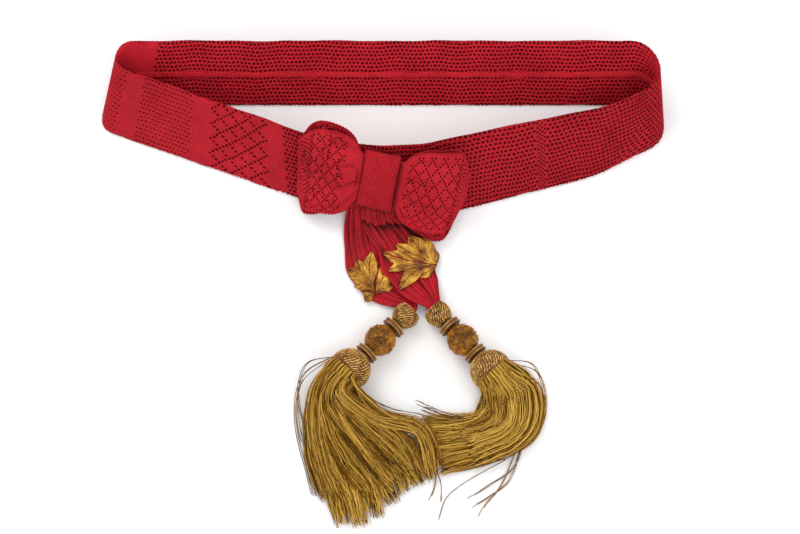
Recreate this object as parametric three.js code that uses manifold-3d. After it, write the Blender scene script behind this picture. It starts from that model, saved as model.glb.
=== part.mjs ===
// An officer's waist sash, laid out loose: a knitted crimson band in one closed loop, a bow with a ribbed knot
// sewn to its front, two pleated tails with an embroidered leaf each, and two gilt thread tassels.
// Millimetres, +Z up. The sash lies on the plane z = 0, seen from the front along +Y, with +X to its right.
import * as THREE from "three";
import { mergeVertices } from "three/addons/utils/BufferGeometryUtils.js";
import Module from "manifold-3d";

const wasm = await Module();
wasm.setup();
const { clamp, degToRad, lerp, smoothstep } = THREE.MathUtils;

// Band: a flat knitted strip, doubled and joined along the inside, standing on its lower edge and leaning back
const LOOP_WIDTH = 446;
const LOOP_DEPTH = 93;
const BAND_WIDTH = 64.5;
const BAND_WALL = 2.4;
const BAND_LEAN = degToRad(40.6);
const SEAM_WIDTH = 5;
const SEAM_WALL = 0.8;

// Bow: half its height where it is widest, and how far each side reaches from the middle of the knot
const BOW_HALF_HEIGHT = 43.5;
const BOW_REACH_LEFT = 63;
const BOW_REACH_RIGHT = 71;
const BOW_SWELL = 9;
const BOW_WALL = 1.4;
const BOW_ROLL = degToRad(-9.5);
const PINCH_PLAY = 0.8;
const KNOT_WIDTH = 28;
const KNOT_HEIGHT = 51;
const KNOT_WALL = 1.5;

// Tails: gathered strips with an embroidered leaf
const TAIL_LENGTH = 100;
const TAIL_WIDTH = 34;
const TAIL_WALL = 1.6;
const PLEAT_DEPTH = 1.4;
const LEAF_LENGTH = 41;
const LEAF_WALL = 0.9;

// Tassels: turned moulds bound in gilt thread, on a cord, and a fringe
const CUP_RADIUS = 9.8;
const CUP_LENGTH = 16.5;
const CUP_MOUTH = 4.5;
const RING_RADIUS = 9.4;
const RING_THICKNESS = 4.4;
const BALL_RADIUS = 12.4;
const HEAD_RADIUS = 16;
const HEAD_LENGTH = 19.5;
const CORD_RADIUS = 2;
const CORD_PLAY = 0.35;
const FRINGE_LENGTH = 150;
const LOCK_WIDTH = 13.5;
const LOCK_HEIGHT = 8;

// Gap kept between pieces that touch, and the radius that cloth bends round where the band meets the floor
const CLEARANCE = 0.35;
const FOOT_BEND = 30;

// Points of a surface that are nearer than this are one point
const WELD = 1e-3;

// Where the knot sits, as a share of the loop's width from its middle, and of the band's width above the floor
const KNOT_ACROSS = -0.0075;
const KNOT_UP = 0.65;

const crimson = new THREE.MeshStandardMaterial({ color: 0xb3182b, roughness: 0.85, metalness: 0 });
const brightCrimson = new THREE.MeshStandardMaterial({ color: 0xc21f33, roughness: 0.8, metalness: 0 });
const gilt = new THREE.MeshStandardMaterial({ color: 0xa8751f, roughness: 0.5, metalness: 0.4 });
const giltThread = new THREE.MeshStandardMaterial({ color: 0x9c7420, roughness: 0.6, metalness: 0.2 });

const sash = new THREE.Group();

function addMesh(parent, name, geometry, material) {
  const mesh = new THREE.Mesh(geometry, material);
  mesh.name = name;
  parent.add(mesh);
  return mesh;
}

// Reads a table of rows at a share from 0 to 1 of its first column, smoothly between rows.
function readTable(rows, share) {
  const last = rows.length - 1;
  let i = 0;
  while (i < last - 1 && share > rows[i + 1][0]) i += 1;
  const t = clamp((share - rows[i][0]) / (rows[i + 1][0] - rows[i][0]), 0, 1);
  const before = rows[Math.max(i - 1, 0)];
  const after = rows[Math.min(i + 2, last)];
  return rows[i].map((value, column) => {
    const a = value;
    const b = rows[i + 1][column];
    const slopeIn = (b - before[column]) / 2;
    const slopeOut = (after[column] - a) / 2;
    return (
      a * (2 * t ** 3 - 3 * t ** 2 + 1) +
      slopeIn * (t ** 3 - 2 * t ** 2 + t) +
      b * (3 * t ** 2 - 2 * t ** 3) +
      slopeOut * (t ** 3 - t ** 2)
    );
  });
}

// Joins rings of points, each ring a closed outline with the same number of points, into one closed surface.
// The rings either close on the first one or end in flat caps, which are fans or strips from side to side.
function joinRings(rings, { closed = false, strips = false } = {}) {
  const count = rings[0].length;
  const positions = rings.flat().flatMap((p) => [p.x, p.y, p.z]);
  const faces = [];
  const steps = closed ? rings.length : rings.length - 1;
  for (let i = 0; i < steps; i += 1) {
    const here = i * count;
    const next = ((i + 1) % rings.length) * count;
    for (let j = 0; j < count; j += 1) {
      const k = (j + 1) % count;
      faces.push(here + j, here + k, next + k, here + j, next + k, next + j);
    }
  }
  if (!closed) {
    const end = (rings.length - 1) * count;
    if (strips) {
      for (let j = 0; j < count / 2 - 1; j += 1) {
        const k = count - 1 - j;
        faces.push(j, k, k - 1, j, k - 1, j + 1);
        faces.push(end + j, end + k - 1, end + k, end + j, end + j + 1, end + k - 1);
      }
    } else {
      for (let j = 1; j < count - 1; j += 1) {
        faces.push(0, j + 1, j);
        faces.push(end, end + j, end + j + 1);
      }
    }
  }
  const geometry = new THREE.BufferGeometry();
  geometry.setAttribute("position", new THREE.Float32BufferAttribute(positions, 3));
  geometry.setIndex(faces);
  return facingOut(geometry);
}

// Turns every face round if the surface encloses a negative volume.
function facingOut(geometry) {
  const p = geometry.attributes.position;
  const index = geometry.index.array;
  const [a, b, c] = [new THREE.Vector3(), new THREE.Vector3(), new THREE.Vector3()];
  let volume = 0;
  for (let i = 0; i < index.length; i += 3) {
    a.fromBufferAttribute(p, index[i]);
    b.fromBufferAttribute(p, index[i + 1]);
    c.fromBufferAttribute(p, index[i + 2]);
    volume += a.dot(b.cross(c));
  }
  if (volume < 0) {
    const turned = Array.from(index);
    for (let i = 0; i < turned.length; i += 3) [turned[i + 1], turned[i + 2]] = [turned[i + 2], turned[i + 1]];
    geometry.setIndex(turned);
  }
  return geometry;
}

function toSolid(geometry) {
  const bare = geometry.clone();
  bare.deleteAttribute("normal");
  bare.deleteAttribute("uv");
  const merged = mergeVertices(bare, WELD);
  return new wasm.Manifold(
    new wasm.Mesh({
      numProp: 3,
      vertProperties: new Float32Array(merged.attributes.position.array),
      triVerts: new Uint32Array(merged.index.array),
    }),
  );
}

function toGeometry(solid) {
  const mesh = solid.getMesh();
  const geometry = new THREE.BufferGeometry();
  geometry.setAttribute("position", new THREE.Float32BufferAttribute(mesh.vertProperties, 3));
  geometry.setIndex(Array.from(mesh.triVerts));
  return geometry;
}

// Joins shapes into one solid, with no space left closed inside it.
function fuse(geometries) {
  const joined = geometries.map(toSolid).reduce((sum, solid) => sum.add(solid));
  return toGeometry(joined.decompose().find((surface) => surface.volume() > 0));
}

// The loop's plan: a triangle with rounded corners, in shares of LOOP_WIDTH from its middle and of LOOP_DEPTH
// from the foot of the front. Columns: across, back, radius.
const FOOT_CORNERS = [
  [0.645, 1, 0.222],
  [-0.6475, 1, 0.147],
  [0.0095, -0.137, 2.44],
  [0.378, 0.335, 1.6],
];
const TOP_CORNERS = [
  [0.647, 0.96, 0.248],
  [-0.61, 0.96, 0.151],
  [-0.028, -0.08, 2.14],
  [0.408, 0.37, 1.6],
];
const CORNER_STEPS = 8;
const SIDE_STEPS = 7;

const bandHeight = BAND_WIDTH * Math.cos(BAND_LEAN);
const bandShift = BAND_WIDTH * Math.sin(BAND_LEAN);
const wallAcross = BAND_WALL / Math.cos(BAND_LEAN);

// Points of a rounded polygon, seen from above and running anticlockwise, drawn in by inset.
function roundedLoop(corners, inset, shift) {
  const size = corners.map(([across, back, radius]) => ({
    at: new THREE.Vector2(across * LOOP_WIDTH, back * LOOP_DEPTH + shift),
    radius: radius * LOOP_DEPTH,
  }));
  const arcs = size.map(({ at, radius }, i) => {
    const before = size[(i + size.length - 1) % size.length].at;
    const after = size[(i + 1) % size.length].at;
    const inward = before.clone().sub(at).normalize();
    const onward = after.clone().sub(at).normalize();
    const half = Math.acos(clamp(inward.dot(onward), -1, 1)) / 2;
    const centre = inward.clone().add(onward).normalize().multiplyScalar(radius / Math.sin(half)).add(at);
    const start = Math.atan2(-inward.x, inward.y) + Math.PI;
    const turn = Math.PI - 2 * half;
    return Array.from({ length: CORNER_STEPS + 1 }, (_, k) => {
      const angle = start + (turn * k) / CORNER_STEPS;
      const r = radius - inset;
      return new THREE.Vector2(centre.x + r * Math.cos(angle), centre.y + r * Math.sin(angle));
    });
  });
  return arcs.flatMap((arc, i) => {
    const from = arc[arc.length - 1];
    const to = arcs[(i + 1) % arcs.length][0];
    const side = Array.from({ length: SIDE_STEPS - 1 }, (_, k) => from.clone().lerp(to, (k + 1) / SIDE_STEPS));
    return [...arc, ...side];
  });
}

const footOutline = roundedLoop(FOOT_CORNERS, 0, 0);
const topOutline = roundedLoop(TOP_CORNERS, 0, bandShift);

// A point on the band's wall: inset from its outer face, at a share of its height.
function wallRing(inset, height) {
  const foot = roundedLoop(FOOT_CORNERS, inset, 0);
  const top = roundedLoop(TOP_CORNERS, inset, bandShift);
  return foot.map((p, i) => {
    const q = top[i];
    return new THREE.Vector3(lerp(p.x, q.x, height), lerp(p.y, q.y, height), bandHeight * height);
  });
}

function stripAroundLoop(outline) {
  const rings = outline.map(([inset, height]) => wallRing(inset, height));
  return joinRings(
    rings[0].map((_, i) => rings.map((ring) => ring[i])),
    { closed: true },
  );
}

function makeBand() {
  const soft = BAND_WALL / 2 / BAND_WIDTH;
  const edge = wallAcross / 4;
  return stripAroundLoop([
    [0, 0],
    [0, 1 - soft],
    [edge, 1],
    [wallAcross - edge, 1],
    [wallAcross, 1 - soft],
    [wallAcross, 0],
  ]);
}

// The flat seam that joins the two edges of the doubled cloth, along the middle of the inside.
function makeSeam() {
  const half = SEAM_WIDTH / 2 / BAND_WIDTH;
  const near = wallAcross + CLEARANCE / Math.cos(BAND_LEAN);
  const far = near + SEAM_WALL;
  return stripAroundLoop([
    [near, 0.5 - half],
    [near, 0.5 + half],
    [far, 0.5 + half],
    [far, 0.5 - half],
  ]);
}

// How far back the foot of the band's front lies at x.
function footAt(x) {
  const front = footOutline.filter((p) => p.y < LOOP_DEPTH / 2).sort((p, q) => p.x - q.x);
  const i = clamp(front.findIndex((p) => p.x > x), 1, front.length - 1);
  const t = (x - front[i - 1].x) / (front[i].x - front[i - 1].x);
  return lerp(front[i - 1].y, front[i].y, t);
}

// Cloth lying on the front: it runs forward on the floor, bends up and goes on along the leaning band.
// v is the way along it from the middle of the bend, n the height above what it lies on.
const rise = Math.PI / 2 - BAND_LEAN;
const bendHalf = (FOOT_BEND * rise) / 2;
const bendTangent = FOOT_BEND * Math.tan(rise / 2);

function onFront(x, v, n, foot) {
  if (v > bendHalf) {
    const up = bendTangent + v - bendHalf;
    const y = up * Math.sin(BAND_LEAN) - n * Math.cos(BAND_LEAN);
    return new THREE.Vector3(x, foot + y, up * Math.cos(BAND_LEAN) + n * Math.sin(BAND_LEAN));
  }
  if (v < -bendHalf) return new THREE.Vector3(x, foot - bendTangent + v + bendHalf, n);
  const angle = rise / 2 + (v / bendHalf) * (rise / 2);
  const radius = FOOT_BEND - n;
  const y = -bendTangent + radius * Math.sin(angle);
  return new THREE.Vector3(x, foot + y, FOOT_BEND - radius * Math.cos(angle));
}

const knotX = KNOT_ACROSS * LOOP_WIDTH;
const knotV = KNOT_UP * BAND_WIDTH - bendTangent + bendHalf;
const lowestFoot = Math.min(...footOutline.map((p) => p.y));

// A point of the bow: u along it from the middle of the knot, v up it, n above the band.
function onBow(u, v, n) {
  const across = u * Math.cos(BOW_ROLL) - v * Math.sin(BOW_ROLL);
  const up = u * Math.sin(BOW_ROLL) + v * Math.cos(BOW_ROLL);
  const x = knotX + across;
  return onFront(x, knotV + up, n, footAt(x));
}

// Levels above the band, from the tails up to the knot's outer face
const PLIES_UNDER_KNOT = 2.75;
const tailPly = TAIL_WALL + PLEAT_DEPTH;
const knotUnder = PLIES_UNDER_KNOT * tailPly;
const pinch = 2 * BOW_WALL + PINCH_PLAY;
const bowLevel = knotUnder + KNOT_WALL + CLEARANCE + pinch / 2;
const knotOver = bowLevel + pinch / 2 + CLEARANCE + KNOT_WALL;
const pinchShare = pinch / 2 / BOW_SWELL;

// A bow loop from the middle of the knot to its fold. Columns: share of the reach, top and bottom as shares of
// BOW_HALF_HEIGHT, and the levels of the front and rear plies from the middle, as shares of BOW_SWELL.
const LOOP_LEFT = [
  [0, 0.45, -0.45, pinchShare, -pinchShare],
  [0.25, 0.49, -0.47, pinchShare, -pinchShare],
  [0.36, 0.72, -0.76, 0.4, -0.45],
  [0.48, 0.8, -0.98, 0.6, -0.75],
  [0.66, 0.8, -1.16, 0.62, -0.95],
  [0.8, 0.72, -1.28, 0.5, -1.1],
  [0.9, 0.55, -1.29, 0.15, -1.12],
  [1, 0.2, -1.02, -0.55, -1.0],
];
const LOOP_RIGHT = [
  [0, 0.45, -0.45, pinchShare, -pinchShare],
  [0.23, 0.48, -0.48, pinchShare, -pinchShare],
  [0.32, 0.66, -0.78, 0.4, -0.45],
  [0.46, 0.76, -1.0, 0.6, -0.65],
  [0.62, 0.76, -1.14, 0.62, -0.75],
  [0.76, 0.74, -1.19, 0.5, -1.05],
  [0.88, 0.64, -1.06, 0.15, -1.15],
  [1, 0.16, -0.38, -0.55, -1.0],
];
const LOOP_STEPS = 10;
const LOOP_ROWS = 10;
const LOOP_FOLDS = 2.5;
const FOLD_DEPTH = 1.2;
const HOLLOW_FROM = 0.36;
const HOLLOW_TO = 0.95;
const HOLLOW_PAST = 0.06;

// One bow loop: a strip folded back on itself, open along its top and bottom, both plies pinched at the knot.
function makeLoop(table, side, reach) {
  const point = (share, row, front, wall) => {
    const [, top, bottom, over, under] = readTable(table, share);
    const v = lerp(bottom, top, row) * BOW_HALF_HEIGHT;
    const crease = FOLD_DEPTH * smoothstep(share, table[1][0], HOLLOW_FROM) * (1 - share);
    const wave = crease * Math.cos(2 * Math.PI * LOOP_FOLDS * row);
    const n = bowLevel + (front ? over * BOW_SWELL - wall + wave : under * BOW_SWELL + wall);
    const u = side * (CLEARANCE + share * (reach - CLEARANCE));
    return onBow(u, v, n);
  };
  const stack = (from, to, past, wall) => {
    const shares = Array.from({ length: LOOP_STEPS + 1 }, (_, i) => lerp(from, to, i / LOOP_STEPS));
    const rows = Array.from({ length: LOOP_ROWS + 1 }, (_, i) => lerp(-past, 1 + past, i / LOOP_ROWS));
    const rings = rows.map((row) => [
      ...shares.map((share) => point(share, row, true, wall)),
      ...shares.toReversed().map((share) => point(share, row, false, wall)),
    ]);
    return toSolid(joinRings(rings, { strips: true }));
  };
  return toGeometry(stack(0, 1, 0, 0).subtract(stack(HOLLOW_FROM, HOLLOW_TO, HOLLOW_PAST, BOW_WALL)));
}

// The knot: a strip wound once round the middle of the bow. Columns: height as a share of half the knot's
// height, and level as a share of its thickness, down the front and back up behind.
const KNOT_SECTION = [
  [-0.86, 1],
  [-0.45, 1],
  [0, 1],
  [0.45, 1],
  [0.86, 1],
  [0.97, 0.88],
  [1, 0.5],
  [0.97, 0.12],
  [0.86, 0],
  [0, 0],
  [-0.86, 0],
  [-0.97, 0.12],
  [-1, 0.5],
  [-0.97, 0.88],
];
const KNOT_STEPS = 4;
const KNOT_CROWN = 1.2;

function makeKnot() {
  const ringAt = (u, wall) =>
    KNOT_SECTION.map(([up, level]) => {
      const crown = level > 0.5 ? KNOT_CROWN * (1 - up * up) * (1 - (2 * u) ** 2) : 0;
      const v = up * (KNOT_HEIGHT / 2 - wall);
      return onBow(u * KNOT_WIDTH, v, lerp(knotUnder + wall, knotOver - wall, level) + crown);
    });
  const stations = Array.from({ length: KNOT_STEPS + 1 }, (_, i) => i / KNOT_STEPS - 0.5);
  const outer = stations.map((u) => ringAt(u, 0));
  const inner = stations.toReversed().map((u) => ringAt(u, KNOT_WALL));
  return joinRings([...outer, ...inner], { closed: true });
}

// The tails, from under the knot to the cup of the tassel. Columns: share along; across and up as shares of
// TAIL_LENGTH from the knot's middle and the bend; height under the middle and its slope from left to right,
// in plies; width as a share of TAIL_WIDTH; pleats as a share of PLEAT_DEPTH.
const TAIL_LEFT = [
  [0, -0.07, 0.26, 0.12, 0, 0.4, 0.9],
  [0.14, -0.15, 0.13, 0.12, 0, 0.5, 1],
  [0.28, -0.16, 0, 0.12, 0, 0.56, 1],
  [0.42, -0.147, -0.165, 0.12, 0, 0.74, 0.9],
  [0.56, -0.115, -0.31, 0.12, 0, 0.88, 0.7],
  [0.68, -0.067, -0.43, 0.12, 0, 0.9, 0.7],
  [0.79, 0.01, -0.54, 0.12, 0, 0.8, 0.8],
  [0.88, 0.13, -0.61, 0.15, 0, 0.6, 1],
  [0.95, 0.255, -0.69, 0.7, 0, 0.3, 1],
  [1, 0.245, -0.765, 2.6, 0, 0.24, 1.3],
];
const TAIL_RIGHT = [
  [0, 0.05, 0.26, 0.85, -1.1, 0.7, 0.9],
  [0.14, 0.03, 0.13, 0.85, -1.1, 0.9, 1],
  [0.28, 0.034, 0, 0.85, -1.1, 0.98, 1],
  [0.42, 0.135, -0.15, 0.9, -1.1, 1.08, 0.9],
  [0.55, 0.2, -0.28, 0.95, -1.1, 1.2, 0.7],
  [0.66, 0.245, -0.38, 1.0, -1.2, 1.24, 0.7],
  [0.77, 0.287, -0.49, 1.25, -1.3, 1.08, 0.8],
  [0.86, 0.35, -0.585, 1.6, -1.2, 0.8, 1],
  [0.95, 0.42, -0.68, 1.9, -0.3, 0.4, 1.1],
  [1, 0.4335, -0.75, 2.6, 0, 0.39, 1.3],
];
const TAIL_STEPS = 18;
const PLEATS = 6;
const LINE_STEP = 0.01;
const TURN_FROM = 0.88;
const FLAT_FROM = 3;

// Where the middle of a tail is, in the flat of the cloth, and the level of its underside there.
function tailAt(tail, share) {
  const [, aside, up, level, slope, wide, pleats] = readTable(tail.rows, share);
  const [across, along, width] = [aside * TAIL_LENGTH, up * TAIL_LENGTH, wide * TAIL_WIDTH];
  return { across, up: along, level, slope, width, pleats };
}

// A place on the tails, which follow the band's curve above its foot and lie straight on the floor beyond.
function onFloorOrBand(across, v, n) {
  const x = knotX + across;
  return onFront(x, v, n, lerp(lowestFoot, footAt(x), smoothstep(v, -FLAT_FROM * bendHalf, 0)));
}

// The line that a tail runs along, which turns into the tassel's at its end.
function tailLine(tail, share) {
  const ahead = tailAt(tail, Math.min(share + LINE_STEP, 1));
  const behind = tailAt(tail, Math.max(share - LINE_STEP, 0));
  const line = new THREE.Vector2(ahead.across - behind.across, ahead.up - behind.up).normalize();
  const tassel = new THREE.Vector2(Math.cos(tail.heading), Math.sin(tail.heading));
  return line.lerp(tassel, smoothstep(share, TURN_FROM, 1)).normalize();
}

function tailPoint(tail, share, aside, over) {
  const here = tailAt(tail, share);
  const along = tailLine(tail, share);
  const x = here.across - along.y * aside;
  const v = here.up + along.x * aside;
  const n = (here.level + (here.slope * aside) / TAIL_WIDTH) * tailPly + over;
  return onFloorOrBand(x, v, n);
}

function makeTail(tail) {
  const rings = Array.from({ length: TAIL_STEPS + 1 }, (_, i) => {
    const share = i / TAIL_STEPS;
    const { width, pleats } = tailAt(tail, share);
    const edge = Array.from({ length: 2 * PLEATS + 1 }, (_, j) => ({
      aside: (j / (2 * PLEATS) - 0.5) * width,
      over: j % 2 ? pleats * PLEAT_DEPTH : 0,
    }));
    return [
      ...edge.map(({ aside, over }) => tailPoint(tail, share, aside, over)),
      ...edge.toReversed().map(({ aside, over }) => tailPoint(tail, share, aside, over + TAIL_WALL)),
    ];
  });
  return joinRings(rings, { strips: true });
}

// A lobed leaf as rays that fan out from its stem. Columns: share of the fan's spread to each side, and length
// of the ray as a share of LEAF_LENGTH.
const LEAF_FAN = [
  [-1, 0.3],
  [-0.86, 0.5],
  [-0.76, 0.74],
  [-0.66, 0.84],
  [-0.56, 0.62],
  [-0.44, 0.66],
  [-0.34, 0.93],
  [-0.24, 0.74],
  [-0.12, 0.8],
  [0, 1],
  [0.12, 0.8],
  [0.24, 0.7],
  [0.34, 0.88],
  [0.44, 0.6],
  [0.56, 0.56],
  [0.68, 0.76],
  [0.78, 0.66],
  [0.88, 0.44],
  [1, 0.28],
];
const LEAF_ROOT = 0.06;
const LEAF_STEPS = [0, 0.35, 0.7, 1];

// The level of a tail's upper side over the place in its flat that is nearest to one asked for.
function topOfTail(tail, across, up) {
  const samples = 8 * TAIL_STEPS;
  let nearest = 0;
  let least = Infinity;
  for (let i = 0; i <= samples; i += 1) {
    const here = tailAt(tail, i / samples);
    const distance = Math.hypot(across - here.across, up - here.up);
    if (distance < least) [least, nearest] = [distance, i / samples];
  }
  const here = tailAt(tail, nearest);
  const along = tailLine(tail, nearest);
  const aside = (up - here.up) * along.x - (across - here.across) * along.y;
  return (here.level + (here.slope * aside) / TAIL_WIDTH + 1) * tailPly;
}

// A leaf laid over the pleats of a tail. Its stem is placed in shares of TAIL_LENGTH, as in the tail tables.
function makeLeaf(tail, { across, up, heading, spread, full }) {
  const place = (angle, radius, over) => {
    const x = across * TAIL_LENGTH + radius * Math.cos(angle);
    const v = up * TAIL_LENGTH + radius * Math.sin(angle);
    return onFloorOrBand(x, v, topOfTail(tail, x, v) + CLEARANCE + over);
  };
  const rays = LEAF_FAN.map(([turn, reach]) => {
    const angle = heading + turn * spread;
    const radii = LEAF_STEPS.map((step) => lerp(LEAF_ROOT, reach, step) * full * LEAF_LENGTH);
    const top = radii.map((radius) => place(angle, radius, LEAF_WALL));
    const under = radii.toReversed().map((radius) => place(angle, radius, 0));
    return [...top, ...under];
  });
  return joinRings(rays, { strips: true });
}

// Turned moulds: profiles round the tassel's own axis, bored for its cord. Columns: radius and place on the
// axis, as shares of the mould's own radius and length.
const CUP_LIP = [
  [0.72, CUP_MOUTH / CUP_LENGTH],
  [0.8, 0],
  [0.9, 0],
];
const RING_FORM = [
  [0.82, 0],
  [1, 0.3],
  [1, 0.7],
  [0.82, 1],
];
const CUP_SHOULDER = 0.25;
const HEAD_SHOULDER = 0.85;
const HEAD_MOUTH = 0.94;
const BORE = CORD_RADIUS + CORD_PLAY;
const MOULD_SIDES = 14;
const CORD_SIDES = 8;
const BALL_ARCS = 8;
const HEAD_ARCS = 6;
const CUP_ARCS = 5;

function lathe(profile) {
  const points = [...profile, profile[0]].map(([r, y]) => new THREE.Vector2(r, y));
  return facingOut(mergeVertices(strip(new THREE.LatheGeometry(points, MOULD_SIDES)), WELD));
}

function strip(geometry) {
  geometry.deleteAttribute("normal");
  geometry.deleteAttribute("uv");
  return geometry;
}

// Points of an arc round (0, centre) from one angle to another, measured from the axis.
function arcProfile(radius, height, centre, from, to, steps) {
  return Array.from({ length: steps + 1 }, (_, i) => {
    const a = lerp(from, to, i / steps);
    return [radius * Math.sin(a), centre + height * Math.cos(a)];
  });
}

const cupEnd = CUP_SHOULDER * CUP_LENGTH;
const cupPole = Math.asin(BORE / CUP_RADIUS);
const cupProfile = [
  [BORE, CUP_MOUTH],
  ...CUP_LIP.map(([out, along]) => [out * CUP_RADIUS, along * CUP_LENGTH]),
  ...arcProfile(CUP_RADIUS, CUP_LENGTH - cupEnd, cupEnd, Math.PI / 2, cupPole, CUP_ARCS),
];
const ringProfile = [
  [BORE, 0],
  ...RING_FORM.map(([out, along]) => [out * RING_RADIUS, along * RING_THICKNESS]),
  [BORE, RING_THICKNESS],
];
const ballPole = Math.asin(BORE / BALL_RADIUS);
const ballHalf = BALL_RADIUS * Math.cos(ballPole);
const ballProfile = arcProfile(BALL_RADIUS, BALL_RADIUS, ballHalf, Math.PI - ballPole, ballPole, BALL_ARCS);
const CUP_OVER = 0.2;
const headWidest = HEAD_SHOULDER * HEAD_LENGTH;
const headProfile = [
  ...arcProfile(HEAD_RADIUS, headWidest, headWidest, Math.PI - ballPole, Math.PI / 2, HEAD_ARCS),
  [HEAD_RADIUS * HEAD_MOUTH, HEAD_LENGTH],
  [BORE, HEAD_LENGTH],
];

// How far along the cord each mould begins, with a clearance between neighbours
const ring1At = CUP_LENGTH + CLEARANCE;
const ballAt = ring1At + RING_THICKNESS + CLEARANCE;
const ring2At = ballAt + 2 * ballHalf + CLEARANCE;
const headAt = ring2At + RING_THICKNESS + CLEARANCE;
const chainLength = headAt + HEAD_LENGTH;
// Every mould touches the floor, so the cord climbs from the cup to the wider head
const chainClimb = Math.asin((HEAD_RADIUS - CUP_RADIUS) / (chainLength - CUP_LENGTH / 2));

// The moulds of one tassel on their cord. The end of the tail goes into the cup's mouth.
function addMoulds(side, tail) {
  const end = tailPoint(tail, 1, 0, 0);
  const { heading } = tail;
  const direction = new THREE.Vector3(
    Math.cos(heading) * Math.cos(chainClimb),
    Math.sin(heading) * Math.cos(chainClimb),
    Math.sin(chainClimb),
  );
  const mouth = new THREE.Vector3(end.x, end.y, CUP_RADIUS).addScaledVector(direction, -CUP_OVER * CUP_MOUTH);
  const chain = new THREE.Group();
  chain.position.copy(mouth);
  chain.quaternion.setFromUnitVectors(new THREE.Vector3(0, 1, 0), direction);
  sash.add(chain);
  addMesh(chain, `tassel_cup_${side}`, lathe(cupProfile), gilt);
  addMesh(chain, `tassel_ring_upper_${side}`, lathe(ringProfile), gilt).position.y = ring1At;
  addMesh(chain, `tassel_ball_${side}`, lathe(ballProfile), gilt).position.y = ballAt;
  addMesh(chain, `tassel_ring_lower_${side}`, lathe(ringProfile), gilt).position.y = ring2At;
  addMesh(chain, `tassel_head_${side}`, lathe(headProfile), gilt).position.y = headAt;
  const cordLength = chainLength - CUP_MOUTH - 4 * CLEARANCE;
  const cord = strip(new THREE.CylinderGeometry(CORD_RADIUS, CORD_RADIUS, cordLength, CORD_SIDES));
  const cordMiddle = CUP_MOUTH + 2 * CLEARANCE + cordLength / 2;
  addMesh(chain, `tassel_cord_${side}`, mergeVertices(cord, WELD), giltThread).position.y = cordMiddle;
  return { direction, base: mouth.clone().addScaledVector(direction, chainLength + CLEARANCE) };
}

// Locks of a fringe. Each leaves the head and runs over two way points to its tip. Places are to the right and
// back, as shares of FRINGE_LENGTH from the middle of the head's mouth. Columns: start round the head in turns
// and as a share of its radius, first way point, second way point, tip, and the heights of these three.
const LOCKS_LEFT = [
  [0.5, 0.62, -0.16, -0.13, -0.17, -0.37, -0.09, -0.64, 0.6, 0.5, 0.4],
  [0.6, 0.62, -0.1, -0.2, -0.08, -0.5, -0.01, -0.77, 0.7, 0.6, 0.4],
  [0.7, 0.62, -0.03, -0.26, 0.01, -0.5, 0.085, -0.78, 0.8, 0.6, 0.4],
  [0.8, 0.62, 0.03, -0.25, 0.09, -0.47, 0.17, -0.73, 0.8, 0.6, 0.4],
  [0.9, 0.62, 0.07, -0.21, 0.155, -0.42, 0.25, -0.66, 0.9, 0.7, 0.4],
  [0.98, 0.62, 0.1, -0.18, 0.22, -0.37, 0.32, -0.6, 1.1, 0.9, 0.4],
  [0.06, 0.62, 0.12, -0.24, 0.28, -0.36, 0.38, -0.56, 1.3, 1.4, 0.5],
  [0.14, 0.62, 0.15, -0.225, 0.38, -0.295, 0.45, -0.53, 1.5, 1.8, 0.5],
  [0.25, 0.62, -0.02, -0.17, 0.03, -0.4, 0.09, -0.66, 1.7, 1.3, 0.9],
  [0.36, 0.62, -0.12, -0.14, -0.12, -0.36, -0.05, -0.6, 1.5, 1.1, 0.8],
  [0.2, 0.3, 0.08, -0.17, 0.17, -0.36, 0.27, -0.56, 1.8, 1.5, 1.0],
];
const LOCKS_RIGHT = [
  [0.5, 0.62, 0.19, -0.06, 0.17, -0.28, -0.225, -0.465, 0.6, 0.5, 0.35],
  [0.6, 0.62, 0.13, -0.11, 0.11, -0.28, -0.235, -0.41, 0.7, 0.5, 0.35],
  [0.7, 0.62, 0.07, -0.14, 0.04, -0.27, -0.29, -0.36, 0.7, 0.5, 0.35],
  [0.8, 0.62, 0.03, -0.14, -0.03, -0.25, -0.33, -0.3, 0.7, 0.5, 0.35],
  [0.92, 0.62, -0.01, -0.14, -0.09, -0.22, -0.36, -0.235, 0.7, 0.5, 0.35],
  [0.1, 0.62, 0.02, -0.14, 0.0, -0.24, -0.17, -0.3, 1.6, 1.3, 0.9],
  [0.25, 0.62, 0.09, -0.13, 0.07, -0.27, -0.12, -0.36, 1.7, 1.4, 0.9],
  [0.4, 0.62, 0.16, -0.09, 0.14, -0.28, -0.08, -0.41, 1.5, 1.2, 0.8],
];
const LOCK_STEPS = 8;
const LOCK_SIDES = 6;
const LOCK_START = 0.5;
const LOCK_OUT = 0.7;
// Columns: share along a lock, its width and its height, as shares of LOCK_WIDTH and LOCK_HEIGHT.
const LOCK_FORM = [
  [0, 0.6, 0.9],
  [0.25, 1, 1.15],
  [0.6, 1.15, 1],
  [0.85, 1.25, 0.85],
  [1, 1.1, 0.6],
];

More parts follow.
